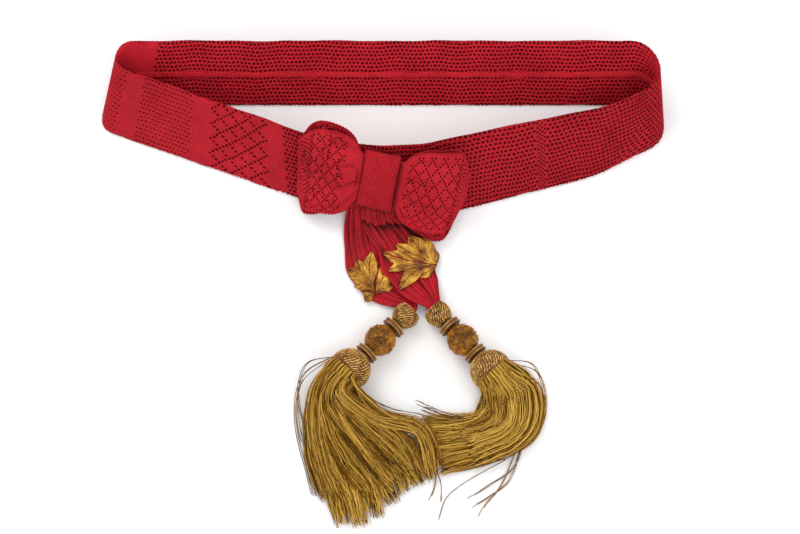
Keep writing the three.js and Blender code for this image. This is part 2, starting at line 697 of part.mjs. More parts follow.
function makeLock(chain, [turns, outward, x1, y1, x2, y2, x3, y3, ...heights]) {
  const flat = new THREE.Vector3(chain.direction.x, chain.direction.y, 0).normalize();
  const left = new THREE.Vector3(-flat.y, flat.x, 0);
  const above = new THREE.Vector3().crossVectors(chain.direction, left).multiplyScalar(-1);
  const angle = turns * 2 * Math.PI;
  const start = chain.base
    .clone()
    .addScaledVector(left, outward * HEAD_RADIUS * Math.cos(angle))
    .addScaledVector(above, -outward * HEAD_RADIUS * Math.sin(angle))
    .addScaledVector(chain.direction, LOCK_START * LOCK_HEIGHT);
  const out = start.clone().addScaledVector(flat, LOCK_OUT * LOCK_WIDTH);
  const stops = [[x1, y1], [x2, y2], [x3, y3]].map(
    ([x, y], i) =>
      new THREE.Vector3(
        chain.base.x + x * FRINGE_LENGTH,
        chain.base.y + y * FRINGE_LENGTH,
        heights[i] * LOCK_HEIGHT,
      ),
  );
  const curve = new THREE.CatmullRomCurve3([start, out, ...stops], false, "centripetal");
  const rings = Array.from({ length: LOCK_STEPS + 1 }, (_, i) => {
    const share = i / LOCK_STEPS;
    const at = curve.getPoint(share);
    const ahead = curve.getTangent(share);
    const across = new THREE.Vector3(-ahead.y, ahead.x, 0).normalize();
    const over = new THREE.Vector3().crossVectors(ahead, across).normalize();
    const [, width, height] = readTable(LOCK_FORM, share);
    const halfHeight = Math.min((height * LOCK_HEIGHT) / 2, at.z - CLEARANCE);
    return Array.from({ length: LOCK_SIDES }, (_, j) => {
      const a = (2 * Math.PI * (j + 0.5)) / LOCK_SIDES;
      return at
        .clone()
        .addScaledVector(across, (Math.cos(a) * width * LOCK_WIDTH) / 2)
        .addScaledVector(over, Math.sin(a) * halfHeight);
    });
  });
  return joinRings(rings);
}

// A fringe: its locks fused to the round backing that is sewn under the head.
const BACKING_TOP = 0.8;
const BACKING_FOOT = 0.95;

function makeFringe(chain, locks) {
  const [top, foot] = [BACKING_TOP * HEAD_RADIUS, BACKING_FOOT * HEAD_RADIUS];
  const backing = strip(new THREE.CylinderGeometry(top, foot, LOCK_WIDTH, MOULD_SIDES));
  const turn = new THREE.Quaternion().setFromUnitVectors(new THREE.Vector3(0, 1, 0), chain.direction);
  const centre = chain.base.clone().addScaledVector(chain.direction, LOCK_WIDTH / 2);
  backing.applyMatrix4(new THREE.Matrix4().compose(centre, turn, new THREE.Vector3(1, 1, 1)));
  return fuse([backing, ...locks.map((lock) => makeLock(chain, lock))]);
}

addMesh(sash, "waist_band", makeBand(), crimson);
addMesh(sash, "inner_seam", makeSeam(), crimson);

addMesh(sash, "bow_loop_left", makeLoop(LOOP_LEFT, -1, BOW_REACH_LEFT), brightCrimson);
addMesh(sash, "bow_loop_right", makeLoop(LOOP_RIGHT, 1, BOW_REACH_RIGHT), brightCrimson);
addMesh(sash, "bow_knot", makeKnot(), brightCrimson);

const sides = [
  {
    side: "left",
    tail: { rows: TAIL_LEFT, heading: degToRad(-134.5) },
    leaf: { across: -0.025, up: -0.6, heading: degToRad(110), spread: degToRad(58), full: 0.78 },
    locks: LOCKS_LEFT,
  },
  {
    side: "right",
    tail: { rows: TAIL_RIGHT, heading: degToRad(-48.8) },
    leaf: { across: 0.455, up: -0.375, heading: degToRad(174), spread: degToRad(66), full: 1.06 },
    locks: LOCKS_RIGHT,
  },
];
for (const { side, tail, leaf, locks } of sides) {
  addMesh(sash, `tail_${side}`, makeTail(tail), brightCrimson);
  addMesh(sash, `leaf_${side}`, makeLeaf(tail, leaf), gilt);
  const chain = addMoulds(side, tail);
  addMesh(sash, `fringe_${side}`, makeFringe(chain, locks), giltThread);
}

// The origin is on the floor, under the middle of the whole sash
const box = new THREE.Box3().setFromObject(sash);
sash.position.set(-(box.min.x + box.max.x) / 2, -(box.min.y + box.max.y) / 2, 0);

export default sash;
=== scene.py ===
# %% [markdown]
# An officer's waist sash, dressed in Blender. It is a closed band of knitted crimson silk with a bow, a
# ribbed knot and two pleated tails on its front, an embroidered leaf on each tail, and two gilt thread
# tassels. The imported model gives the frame. Every piece below stands in the place of one of its solids, so
# the sizes are those of the source, in metres, and the tables are its own or close to them.

import math

import bpy
import numpy as np
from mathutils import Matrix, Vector


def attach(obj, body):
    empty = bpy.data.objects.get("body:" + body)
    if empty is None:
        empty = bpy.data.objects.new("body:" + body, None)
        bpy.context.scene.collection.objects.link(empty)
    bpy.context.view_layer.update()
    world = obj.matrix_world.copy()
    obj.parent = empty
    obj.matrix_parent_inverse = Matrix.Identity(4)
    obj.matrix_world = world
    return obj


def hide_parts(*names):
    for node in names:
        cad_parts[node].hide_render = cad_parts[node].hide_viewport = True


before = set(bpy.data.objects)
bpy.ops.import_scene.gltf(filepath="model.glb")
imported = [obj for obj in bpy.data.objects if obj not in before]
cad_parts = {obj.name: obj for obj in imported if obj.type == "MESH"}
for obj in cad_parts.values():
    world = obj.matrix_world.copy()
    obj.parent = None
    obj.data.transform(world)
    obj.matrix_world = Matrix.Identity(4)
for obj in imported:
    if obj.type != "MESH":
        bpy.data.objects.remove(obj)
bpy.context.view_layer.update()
mm = 0.001


# %% [markdown]
# The photograph looks steeply down on the sash from the front, with a long lens: the loop of the band is
# foreshortened and both its outside and its inside show. A camera object is aimed with a quaternion that
# turns its own -Z axis along the line of sight.

# %% Camera
LOOK_AT = Vector((13.71, 17.58, 0)) * mm
LOOK_DOWN = math.radians(75)
DISTANCE = 1.8
SENSOR, LENS = 36, 103.68  # in millimetres, as Blender counts them

camera = bpy.data.objects.new("camera", bpy.data.cameras.new("camera"))
bpy.context.scene.collection.objects.link(camera)
camera.data.sensor_width, camera.data.lens = SENSOR, LENS
camera.data.clip_end = 20
sight = Vector((0, math.cos(LOOK_DOWN), -math.sin(LOOK_DOWN)))
camera.location = LOOK_AT - sight * DISTANCE
camera.rotation_mode = "QUATERNION"
camera.rotation_quaternion = sight.to_track_quat("-Z", "Y")
bpy.context.scene.camera = camera
print("camera at", [round(x, 3) for x in camera.location])


# %% [markdown]
# A photographer's table is a plain pale sheet, and broad lamps close to it give soft shadows. One large
# round lamp at the back left makes the form, a wider one at the front right fills, and the world lights the
# rest. Strong reds keep their depth in the standard view transform, where a softer one would wash them out.

# %% Floor and light
FLOOR_HALF, WORLD_LIGHT = 1.6, 1.05
floor_mesh = bpy.data.meshes.new("floor")
floor_corners = [(x * FLOOR_HALF, y * FLOOR_HALF, 0) for x, y in ((-1, -1), (1, -1), (1, 1), (-1, 1))]
floor_mesh.from_pydata(floor_corners, [], [(0, 1, 2, 3)])
floor = bpy.data.objects.new("floor", floor_mesh)
bpy.context.scene.collection.objects.link(floor)


def area_light(name, place, size, power):
    light = bpy.data.lights.new(name, "AREA")
    light.shape = "DISK"
    light.size = size
    light.energy = power
    lamp = bpy.data.objects.new(name, light)
    lamp.location = place
    lamp.rotation_mode = "QUATERNION"
    lamp.rotation_quaternion = (-Vector(place)).to_track_quat("-Z", "Y")
    bpy.context.scene.collection.objects.link(lamp)
    return lamp


area_light("key_light", place=(-0.7, 0.9, 1.5), size=1.0, power=9)
area_light("fill_light", place=(0.7, -0.9, 1.6), size=1.5, power=8)
world = bpy.context.scene.world or bpy.data.worlds.new("studio")
bpy.context.scene.world = world
world.use_nodes = True
background = world.node_tree.nodes["Background"].inputs
background["Color"].default_value, background["Strength"].default_value = (1, 1, 1, 1), WORLD_LIGHT
bpy.context.scene.view_settings.view_transform = "Standard"
print("two lamps and a white room")


# %% [markdown]
# Node trees read best as sums. The class below wraps a socket, so that a plus or a times adds a Math node,
# and its tree's one method adds every other kind of node: its settings come first, then its sockets.

# %% Node trees as sums
class Socket:
    """One value in a node tree. Sums on it add Math nodes."""

    def __init__(self, tree, socket):
        self.tree, self.socket = tree, socket

    def maths(self, operation, *others):
        kind = "ShaderNodeMath"
        return self.tree.node(kind, {"operation": operation}, dict(enumerate((self, *others))))

    def __add__(self, other):
        return self.maths("ADD", other)

    def __sub__(self, other):
        return self.maths("SUBTRACT", other)

    def __mul__(self, other):
        return self.maths("MULTIPLY", other)

    def __truediv__(self, other):
        return self.maths("DIVIDE", other)

    def __rsub__(self, other):
        return self.tree.number(other).maths("SUBTRACT", self)

    def __rtruediv__(self, other):
        return self.tree.number(other).maths("DIVIDE", self)

    __radd__, __rmul__ = __add__, __mul__

    def out(self, name):
        return Socket(self.tree, self.socket.node.outputs[name])


class Tree:
    """A node tree that is filled by calls."""

    def __init__(self, tree):
        self.tree = tree

    def node(self, kind, settings=None, sockets=None):
        made = self.tree.nodes.new(kind)
        for name, value in (settings or {}).items():
            if name == "stops":
                ramp = made.color_ramp.elements
                while len(ramp) < len(value):
                    ramp.new(1)
                for stop, (place, colour) in zip(ramp, value):
                    stop.position, stop.color = place, (*colour, 1)
            else:
                setattr(made, name, value)
        for name, value in (sockets or {}).items():
            socket = made.inputs[name]
            if isinstance(name, str):
                socket = next(s for s in made.inputs if s.name == name and s.enabled)
            if isinstance(value, Socket):
                self.tree.links.new(value.socket, socket)
            else:
                socket.default_value = value
        first = next((s for s in made.outputs if s.enabled), None)
        return Socket(self, first) if first else made

    def number(self, value):
        return self.node("ShaderNodeMath", {"operation": "ADD"}, {0: value, 1: 0})


# %% [markdown]
# Every finish is one principled shader whose colour, roughness and normal come from small nodes. The
# function below makes the material and hands its tree to the recipe, which returns what goes into the shader.

# %% A finish from a recipe
def finish(name, recipe, **constants):
    material = bpy.data.materials.new(name)
    material.use_nodes = True
    tree = Tree(material.node_tree)
    shader = material.node_tree.nodes["Principled BSDF"]
    for socket, value in constants.items():
        shader.inputs[socket.replace("_", " ").title().replace("Ior", "IOR")].default_value = value
    for socket, value in recipe(tree).items():
        tree.tree.links.new(value.socket, shader.inputs[socket])
    return material


def noise(tree, where, scale, detail=2.0, roughness=0.5):
    sockets = {"Vector": where, "Scale": scale, "Detail": detail, "Roughness": roughness}
    return tree.node("ShaderNodeTexNoise", {}, sockets)


def mix(tree, factor, first, second):
    kind = {"data_type": "RGBA", "clamp_factor": True}
    made = tree.node("ShaderNodeMix", kind, {0: factor, 6: first, 7: second})
    return Socket(tree, made.socket.node.outputs[2])


def ramp(tree, value, *stops):
    return tree.node("ShaderNodeValToRGB", {"stops": stops}, {0: value})


def relief(tree, height, depth, strength):
    return tree.node("ShaderNodeBump", {}, {"Height": height, "Distance": depth, "Strength": strength})


# %% [markdown]
# Floor: a matt sheet of white paper, with a faint grain so that it isn't a flat colour.

# %% Floor paper
def paper(tree):
    place = tree.node("ShaderNodeTexCoord").out("Object")
    grain = noise(tree, place, 900.0)
    return {
        "Base Color": ramp(tree, grain, (0.3, (0.87, 0.87, 0.87)), (0.7, (0.9, 0.9, 0.9))),
        "Normal": relief(tree, grain, 0.00005, 0.3),
    }


floor_mesh.materials.append(finish("white_paper", paper, roughness=0.9))


# %% [markdown]
# The knitted silk is a fine V stitch: columns 1.3 mm wide, seen as hair-fine ribs, in a crimson that is deep
# in the stitches' hollows and bright on their crowns, a painted shade. Its stitches follow the cloth's own UV
# map, in metres, and slow noises on the object's coordinates give the uneven dye and the pale fuzz of wear.
# Folds marked on a piece get a painted shade. The bow is in a brighter crimson and less worn, the inside of
# the band is painted brighter for the less light that falls on it, and the lining is painted nearly black, a
# painted shade, as it shows only through holes.

# %% Crimson knit
def stitches(tree, flat, across, along):
    """Height of a knitted surface: ribs across, and loops that lean to each side along them."""
    apart = tree.node("ShaderNodeSeparateXYZ", {}, {"Vector": flat})
    x, y = apart.out("X") / across, apart.out("Y") / along
    rib = (x * (2 * math.pi)).maths("SINE") * 0.5 + 0.5
    lean = (x.maths("PINGPONG", 0.5) * 2 + y).maths("FRACT")
    loop = (lean * (2 * math.pi)).maths("SINE") * 0.5 + 0.5
    return rib * 0.6 + loop * 0.4


def knitted(deep, bright, worn, worn_from):
    def recipe(tree):
        place = tree.node("ShaderNodeTexCoord").out("Object")
        flat = tree.node("ShaderNodeUVMap", {"uv_map": "cloth"})
        loops = stitches(tree, flat, 1.3 * mm, 1.7 * mm)
        dye = noise(tree, place, 38.0, 3.0, 0.6)
        fibre = noise(tree, place, 1100.0, 3.0, 0.7)
        # The stitches' loops darken the colour in their hollows: a painted shade at the scale of the stitch.
        colour = ramp(tree, dye * 0.25 + loops * 0.25 + fibre * 0.5, (0.34, deep), (0.64, bright))
        # Painted shade marked on the piece: its folds are mixed towards a dark crimson.
        hollow = tree.node("ShaderNodeAttribute", {"attribute_name": "hollow"}).out("Fac")
        colour = mix(tree, hollow * 0.85, colour, (*(0.25 * channel for channel in deep), 1))
        fuzz = (noise(tree, place, 70.0, 4.0, 0.7) - worn_from) * 6
        colour = mix(tree, (fuzz.maths("MAXIMUM", 0.0) * fibre).maths("MINIMUM", 1.0), colour, (*worn, 1))
        return {
            "Base Color": colour,
            "Roughness": dye * 0.2 + 0.66,
            "Normal": relief(tree, loops * 0.7 + fibre * 0.8, 0.3 * mm, 0.8),
        }

    return recipe


DEEP, BRIGHT, PALE = (0.21, 0.004, 0.009), (0.53, 0.018, 0.029), (0.60, 0.17, 0.16)
DULL = 0.08
# The bow and the knot are knitted in a brighter crimson, with less pale wear.
bow_dye = knitted(DEEP, (0.62, 0.022, 0.034), PALE, 0.76)
# The inside of the band gets a brighter copy of the knit: painted light, making up for the less light that
# falls on its inner face.
inside_painted_light = knitted((0.27, 0.005, 0.012), (0.69, 0.023, 0.038), PALE, 0.70)
# The lining is painted nearly black: a painted shade for the inside of the tube, which is seen only through
# the holes.
lining_painted_dark = knitted((0.035, 0.001, 0.002), (0.10, 0.002, 0.005), (0.12, 0.01, 0.01), 0.8)
knit = finish("crimson_knit", knitted(DEEP, BRIGHT, PALE, 0.70), specular_ior_level=DULL)
bow_knit = finish("crimson_knit_bow", bow_dye, specular_ior_level=DULL)
inside_brightened = finish("crimson_knit_inside", inside_painted_light, specular_ior_level=DULL)
shade = finish("crimson_lining", lining_painted_dark, specular_ior_level=0.03)


# %% [markdown]
# Cloth is easiest to make flat and then to lay over the form, as a knitter does. A form is a grid of points
# on a smooth surface, with a normal at each, and laying a flat mesh on it reads the mesh's x and y as shares
# along the grid and its z as the height over it. The flat size of each cloth is kept in cuts, for the end.

# %% Forms, and laying flat cloth on them
cuts = {}


class Form:
    """A surface given by a function of two shares, kept as a grid, which flat meshes are laid on."""

    def __init__(self, point, columns, rows, closed=False, turn=1):
        shares = [i / columns for i in range(columns)] + ([] if closed else [1.0])
        grid = [[point(u, j / rows) for j in range(rows + 1)] for u in shares]
        self.points = np.array(grid, dtype=float)
        if closed:
            self.points = np.concatenate([self.points, self.points[:1]])
        along = np.gradient(self.points, axis=0)
        if closed:
            along[0] = along[-1] = self.points[1] - self.points[-2]
        up = np.gradient(self.points, axis=1)
        normals = np.cross(along, up) * turn
        self.normals = normals / np.maximum(np.linalg.norm(normals, axis=2, keepdims=True), 1e-12)
        self.closed = closed

    def sample(self, grid, u, v):
        columns, rows = grid.shape[0] - 1, grid.shape[1] - 1
        u = np.mod(u, 1.0) if self.closed else np.clip(u, 0, 1)
        x, y = u * columns, np.clip(v, 0, 1) * rows
        i, j = np.minimum(x.astype(int), columns - 1), np.minimum(y.astype(int), rows - 1)
        s, t = (x - i)[:, None], (y - j)[:, None]
        low = grid[i, j] * (1 - s) + grid[i + 1, j] * s
        high = grid[i, j + 1] * (1 - s) + grid[i + 1, j + 1] * s
        return low * (1 - t) + high * t

    def lay(self, flat):
        """Places of flat points (share along, share up, height)."""
        out = self.sample(self.normals, flat[:, 0], flat[:, 1])
        return self.sample(self.points, flat[:, 0], flat[:, 1]) + out * flat[:, 2:3]

    def lengths(self):
        """How long the form is along and up, on average."""
        grids = (self.points, self.points.transpose(1, 0, 2))
        return [float(np.linalg.norm(np.diff(grid, axis=0), axis=2).sum(axis=0).mean()) for grid in grids]


def coordinates(mesh):
    flat = np.empty(len(mesh.vertices) * 3)
    mesh.vertices.foreach_get("co", flat)
    return flat.reshape(-1, 3)


def move(mesh, places):
    mesh.vertices.foreach_set("co", np.ascontiguousarray(places, dtype=np.float32).ravel())
    mesh.update()


def cloth_map(mesh, metres):
    """The cloth's own UV map: one pair of metres for each vertex."""
    corner = np.empty(len(mesh.loops), dtype=int)
    mesh.loops.foreach_get("vertex_index", corner)
    layer = mesh.uv_layers.get("cloth") or mesh.uv_layers.new(name="cloth")
    layer.data.foreach_set("uv", np.ascontiguousarray(metres[corner], dtype=np.float32).ravel())


def mark_painted_shade(mesh, values):
    """How much painted shade each vertex gets, from 0 to 1: in folds, in grooves and under other parts. The
    finishes darken by it.
    """
    layer = mesh.attributes.get("hollow") or mesh.attributes.new("hollow", "FLOAT", "POINT")
    layer.data.foreach_set("value", np.clip(values, 0, 1).astype(np.float32))


def add_object(name, mesh, material=None):
    piece = bpy.data.objects.new(name, mesh)
    bpy.context.scene.collection.objects.link(piece)
    if material is not None:
        mesh.materials.clear()
        mesh.materials.append(material)
    return piece


def mesh_of(name, points, faces):
    mesh = bpy.data.meshes.new(name)
    mesh.from_pydata([tuple(p) for p in points], [], [tuple(f) for f in faces])
    mesh.polygons.foreach_set("use_smooth", [True] * len(mesh.polygons))
    mesh.update()
    return mesh


def dress(piece, slot, *nodes):
    """What every finished piece needs: its body, and the solids that it stands for, which are hidden. The
    slot is not used.
    """
    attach(piece, "root")
    if nodes:
        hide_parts(*nodes)
    piece.data.calc_loop_triangles()
    print(piece.name, len(piece.data.loop_triangles), "triangles")
    return piece


# %% [markdown]
# What repeats is grown by Geometry Nodes. A tree gets named inputs for its sizes, a fixed seed for anything
# random, and ends in Realize Instances and Set Material, because the export drops instances. The modifier's
# inputs are set by identifier, the result becomes a plain mesh, and the modifier goes.

# %% Growing trees
KINDS = {float: "NodeSocketFloat", int: "NodeSocketInt"}


def geometry_tree(name, numbers, objects=()):
    """A group with named inputs. Returns the group, its tree and the group's inputs."""
    group = bpy.data.node_groups.new(name, "GeometryNodeTree")
    group.interface.new_socket("Geometry", in_out="INPUT", socket_type="NodeSocketGeometry")
    group.interface.new_socket("Geometry", in_out="OUTPUT", socket_type="NodeSocketGeometry")
    for label, value in numbers.items():
        made = group.interface.new_socket(label, in_out="INPUT", socket_type=KINDS[type(value)])
        made.default_value = value
    for label in objects:
        group.interface.new_socket(label, in_out="INPUT", socket_type="NodeSocketObject")
    group.interface.new_socket("Material", in_out="INPUT", socket_type="NodeSocketMaterial")
    tree = Tree(group)
    return group, tree, tree.node("NodeGroupInput")


def end_tree(tree, start, shape):
    shape = tree.node("GeometryNodeRealizeInstances", {}, {"Geometry": shape})
    shape = tree.node("GeometryNodeSetShadeSmooth", {}, {"Geometry": shape, "Shade Smooth": True})
    shape = tree.node("GeometryNodeSetMaterial", {}, {"Geometry": shape, "Material": start.out("Material")})
    tree.node("NodeGroupOutput", {}, {"Geometry": shape})


def attribute(tree, name, kind="FLOAT"):
    return tree.node("GeometryNodeInputNamedAttribute", {"data_type": kind}, {"Name": name})


def store(tree, shape, name, value, domain="POINT"):
    settings = {"data_type": "FLOAT", "domain": domain}
    sockets = {"Geometry": shape, "Name": name, "Value": value}
    return tree.node("GeometryNodeStoreNamedAttribute", settings, sockets)


def vector_maths(tree, operation, first, second):
    """Vector Math on two vectors, or on a vector and the number that scales it."""
    sockets = {0: first, "Scale" if operation == "SCALE" else 1: second}
    return tree.node("ShaderNodeVectorMath", {"operation": operation}, sockets)


def wander(tree, phase, scale, stretch, amount):
    """A smooth offset that changes from place to place: a noise about zero, stretched and scaled."""
    place = tree.node("GeometryNodeInputPosition")
    sockets = {"Vector": place, "W": phase, "Scale": scale, "Detail": 1.0}
    drift = tree.node("ShaderNodeTexNoise", {"noise_dimensions": "4D"}, sockets).out("Color")
    drift = vector_maths(tree, "SUBTRACT", drift, (0.5, 0.5, 0.5))
    drift = vector_maths(tree, "MULTIPLY", drift, stretch)
    return vector_maths(tree, "SCALE", drift, amount)


def grow(name, source, group, material, **inputs):
    """Runs a tree on a source object and returns its result as a mesh piece."""
    modifier = source.modifiers.new("grow", "NODES")
    modifier.node_group = group
    for item in group.interface.items_tree:
        label = item.name.lower().replace(" ", "_")
        if item.in_out == "INPUT" and label in inputs:
            modifier[item.identifier] = inputs[label]
        if item.in_out == "INPUT" and label == "material":
            modifier[item.identifier] = material
    bpy.context.view_layer.update()
    depsgraph = bpy.context.evaluated_depsgraph_get()
    mesh = bpy.data.meshes.new_from_object(source.evaluated_get(depsgraph))
    mesh.name = name
    bpy.data.objects.remove(source)
    return add_object(name, mesh)


# %% [markdown]
# The knitter works from a chart: one point for each cell of the cloth, marked net, eyelet or plain. The tree
# sets a small cell on every point. A net cell is a hexagon with a hole, its neighbours staggered like bricks;
# an eyelet is a square with a hole; a plain cell is a square of closed knit. A cell is one ring of faces from
# its border down to the rim of its hole, and no more, because thousands are knitted. A noise then moves the
# whole cloth, so that no two holes are alike.

# %% Cells of the knit
SQUARE = [(0.5, 0), (0.5, 0.5), (0, 0.5), (-0.5, 0.5), (-0.5, 0), (-0.5, -0.5), (0, -0.5), (0.5, -0.5)]
HEXAGON = [(0.5, 0.3), (0, 0.7), (-0.5, 0.3), (-0.5, -0.3), (0, -0.7), (0.5, -0.3)]
RIM = 0.3


def cell(name, border, hole_wide=0, hole_high=0):
    """One cell, one unit wide and high, from its border at height 1 down to the rim of its hole."""
    count = len(border)
    if not hole_wide:
        return add_object(name, mesh_of(name, [(x, y, 1) for x, y in border], [range(count)]))
    angles = [math.atan2(y, x) for x, y in border]
    hole = [(hole_wide / 2 * math.cos(a), hole_high / 2 * math.sin(a)) for a in angles]
    points = [(x, y, 1) for x, y in border] + [(x, y, RIM) for x, y in hole]
    faces = [(i, (i + 1) % count, count + (i + 1) % count, count + i) for i in range(count)]
    return add_object(name, mesh_of(name, points, faces))


def knitting_tree():
    numbers = {"Waver": 0.3 * mm, "Waver scale": 120.0, "Seed": 4}
    group, tree, start = geometry_tree("knit_the_chart", numbers, ("Plain cell", "Net cell", "Eyelet cell"))
    kind, size = attribute(tree, "kind"), attribute(tree, "size", "FLOAT_VECTOR")
    cells = []
    for number, label in enumerate(("Plain cell", "Net cell", "Eyelet cell")):
        shape = tree.node("GeometryNodeObjectInfo", {}, {"Object": start.out(label)}).out("Geometry")
        here = kind.maths("COMPARE", number, 0.5)
        chosen = {"Points": start, "Selection": here, "Instance": shape, "Scale": size}
        cells.append(tree.node("GeometryNodeInstanceOnPoints", {}, chosen))
    cloth = tree.node("GeometryNodeJoinGeometry")
    for shape in cells:
        tree.tree.links.new(shape.socket, cloth.socket.node.inputs["Geometry"])
    cloth = tree.node("GeometryNodeRealizeInstances", {}, {"Geometry": cloth})
    cloth = tree.node("GeometryNodeMergeByDistance", {}, {"Geometry": cloth, "Distance": 0.05 * mm})
    drift = wander(tree, start.out("Seed"), start.out("Waver scale"), (1, 1, 0), start.out("Waver") * 4)
    cloth = tree.node("GeometryNodeSetPosition", {}, {"Geometry": cloth, "Offset": drift})
    end_tree(tree, start, cloth)
    return group


PLAIN, NET, EYELET = 0, 1, 2
plain_cell = cell("plain_cell", SQUARE)
net_cell = cell("net_cell", HEXAGON, 0.72, 0.62)
eyelet_cell = cell("eyelet_cell", SQUARE, 0.88, 0.86)
knitting = knitting_tree()


def knit_chart(name, chart, material, height=0.7 * mm, waver=0.3 * mm, waver_scale=120.0):
    """Knits a chart of rows (x, y, kind, cell width, cell height), all flat and in metres."""
    table = np.array(chart)
    mesh = bpy.data.meshes.new(name + "_chart")
    mesh.from_pydata([(x, y, 0) for x, y in table[:, :2]], [], [])
    mesh.attributes.new("kind", "FLOAT", "POINT").data.foreach_set("value", table[:, 2])
    sizes = np.column_stack([table[:, 3], table[:, 4], np.full(len(table), height)])
    mesh.attributes.new("size", "FLOAT_VECTOR", "POINT").data.foreach_set("vector", sizes.ravel())
    source = add_object(name + "_source", mesh)
    inputs = {"plain_cell": plain_cell, "net_cell": net_cell, "eyelet_cell": eyelet_cell}
    inputs |= {"waver": waver, "waver_scale": waver_scale, "seed": len(chart)}
    return grow(name, source, knitting, material, **inputs)


print("cells of", [len(c.data.polygons) for c in (plain_cell, net_cell, eyelet_cell)], "faces")


# %% [markdown]
# The band is a knitted tube pressed flat, 64 mm wide and 2.4 mm thick, closed into a loop that stands on its
# lower edge and leans back. Its plan is a triangle with rounded corners, given as in the source by corner
# points and radii, for the foot and for the top edge.

# %% Path of the band
ORIGIN = Vector((0.21, 58.58, 0)) * mm
LOOP_WIDTH, LOOP_DEPTH = 446 * mm, 93 * mm
BAND_WIDTH, BAND_WALL, BAND_LEAN = 64.5 * mm, 2.4 * mm, math.radians(40.6)
FOOT_CORNERS = [(0.645, 1, 0.222), (-0.6475, 1, 0.147), (0.0095, -0.137, 2.44), (0.378, 0.335, 1.6)]
TOP_CORNERS = [(0.647, 0.96, 0.248), (-0.61, 0.96, 0.151), (-0.028, -0.08, 2.14), (0.408, 0.37, 1.6)]
band_height, band_shift = BAND_WIDTH * math.cos(BAND_LEAN), BAND_WIDTH * math.sin(BAND_LEAN)
wall_across = BAND_WALL / math.cos(BAND_LEAN)


def lerp(a, b, t):
    return a + (b - a) * t


def smoothstep(x, low, high):
    t = min(max((x - low) / (high - low), 0), 1)
    return t * t * (3 - 2 * t)


def rounded_loop(corners, inset, shift, steps=36):
    """Points of a rounded polygon, seen from above and running anticlockwise, drawn in by inset."""
    places = [np.array((across * LOOP_WIDTH, back * LOOP_DEPTH + shift)) for across, back, _ in corners]
    radii = [radius * LOOP_DEPTH for _, _, radius in corners]
    arcs = []
    for i, (at, radius) in enumerate(zip(places, radii)):
        inward = places[i - 1] - at
        onward = places[(i + 1) % len(places)] - at
        inward, onward = inward / np.linalg.norm(inward), onward / np.linalg.norm(onward)
        half_angle = math.acos(float(np.clip(inward @ onward, -1, 1))) / 2
        middle = inward + onward
        centre = at + middle / np.linalg.norm(middle) * radius / math.sin(half_angle)
        start, turn = math.atan2(-inward[0], inward[1]) + math.pi, math.pi - 2 * half_angle
        angles = [start + turn * k / steps for k in range(steps + 1)]
        arcs.append([centre + (radius - inset) * np.array((math.cos(a), math.sin(a))) for a in angles])
    outline = []
    for i, arc in enumerate(arcs):
        onward = arcs[(i + 1) % len(arcs)][0]
        outline += arc + [lerp(arc[-1], onward, (k + 1) / steps) for k in range(steps - 1)]
    return np.array(outline)


foot_outline = rounded_loop(FOOT_CORNERS, 0, 0)
foot_middle = rounded_loop(FOOT_CORNERS, wall_across / 2, 0)
top_middle = rounded_loop(TOP_CORNERS, wall_across / 2, band_shift)
between = (foot_middle + top_middle) / 2
ring = np.vstack([between, between[:1]])
travel = np.concatenate([[0], np.cumsum(np.linalg.norm(np.diff(ring, axis=0), axis=1))])
loop_length = float(travel[-1])


def along_loop(outline, u):
    """The outline's point at a share of the way round the loop."""
    closed = np.vstack([outline, outline[:1]])
    return np.array([np.interp((u % 1) * loop_length, travel, closed[:, k]) for k in (0, 1)])


print("the band is", round(loop_length, 3), "m round")


# %% [markdown]
# The net lies 0.75 mm high on a thin lining, so the lining's section is drawn in by that much. A share goes
# round the section: from the lower edge up the outside, over the top edge at a half, and down the inside.
# The form overlaps itself a little at the lower edge, so that a cell laid across that edge finds it.

# %% Section of the band
NET_HEIGHT = 0.75 * mm
LINING = BAND_WALL / 2 - NET_HEIGHT
EDGE = 1.75 * mm
STRAIGHT = BAND_WIDTH - 2 * EDGE
half_round = math.pi * LINING
girth = 2 * (STRAIGHT + half_round)


def section(v):
    """Distance up the band's middle and distance out of it, at a share round its section."""
    way = (v % 1) * girth
    if way < half_round / 2 or way >= girth - half_round / 2:
        angle = (way + half_round / 2) % girth / LINING - math.pi / 2
        return EDGE - LINING * math.cos(angle), LINING * math.sin(angle)
    if way < half_round / 2 + STRAIGHT:
        return EDGE + way - half_round / 2, LINING
    if way < half_round * 1.5 + STRAIGHT:
        angle = (way - half_round / 2 - STRAIGHT) / LINING
        return EDGE + STRAIGHT + LINING * math.sin(angle), LINING * math.cos(angle)
    return EDGE + STRAIGHT - (way - half_round * 1.5 - STRAIGHT), -LINING


OVERLAP = 0.08
ROWS_ROUND, COLUMNS_ALONG = 120, 480
# Waves of the top edge: how far, how many in the loop, and where they start
RIPPLES = [(0.35 * mm, 9, 2.1), (0.25 * mm, 23, 0)]
THINNER = 0.9
stations = [i / COLUMNS_ALONG for i in range(COLUMNS_ALONG)]
feet = [along_loop(foot_middle, u) for u in stations]
tops = [along_loop(top_middle, u) for u in stations]


def band_point(u, share):
    i = round(u * COLUMNS_ALONG) % COLUMNS_ALONG
    foot, top = feet[i], tops[i]
    up, out = section(share * (1 + 2 * OVERLAP) - OVERLAP)
    ripple = sum(reach * math.sin(count * math.tau * u + begin) for reach, count, begin in RIPPLES)
    height = (up + ripple * (up / BAND_WIDTH) ** 2) / BAND_WIDTH
    way = feet[(i + 1) % COLUMNS_ALONG] - feet[i - 1]
    way = way / np.linalg.norm(way)
    aside = np.array((way[1], -way[0])) * out / math.cos(BAND_LEAN) * THINNER
    flat = lerp(foot, top, height) + aside
    return (*(flat + np.array(ORIGIN[:2])), band_height * height)


band_form = Form(band_point, COLUMNS_ALONG, ROWS_ROUND, closed=True)


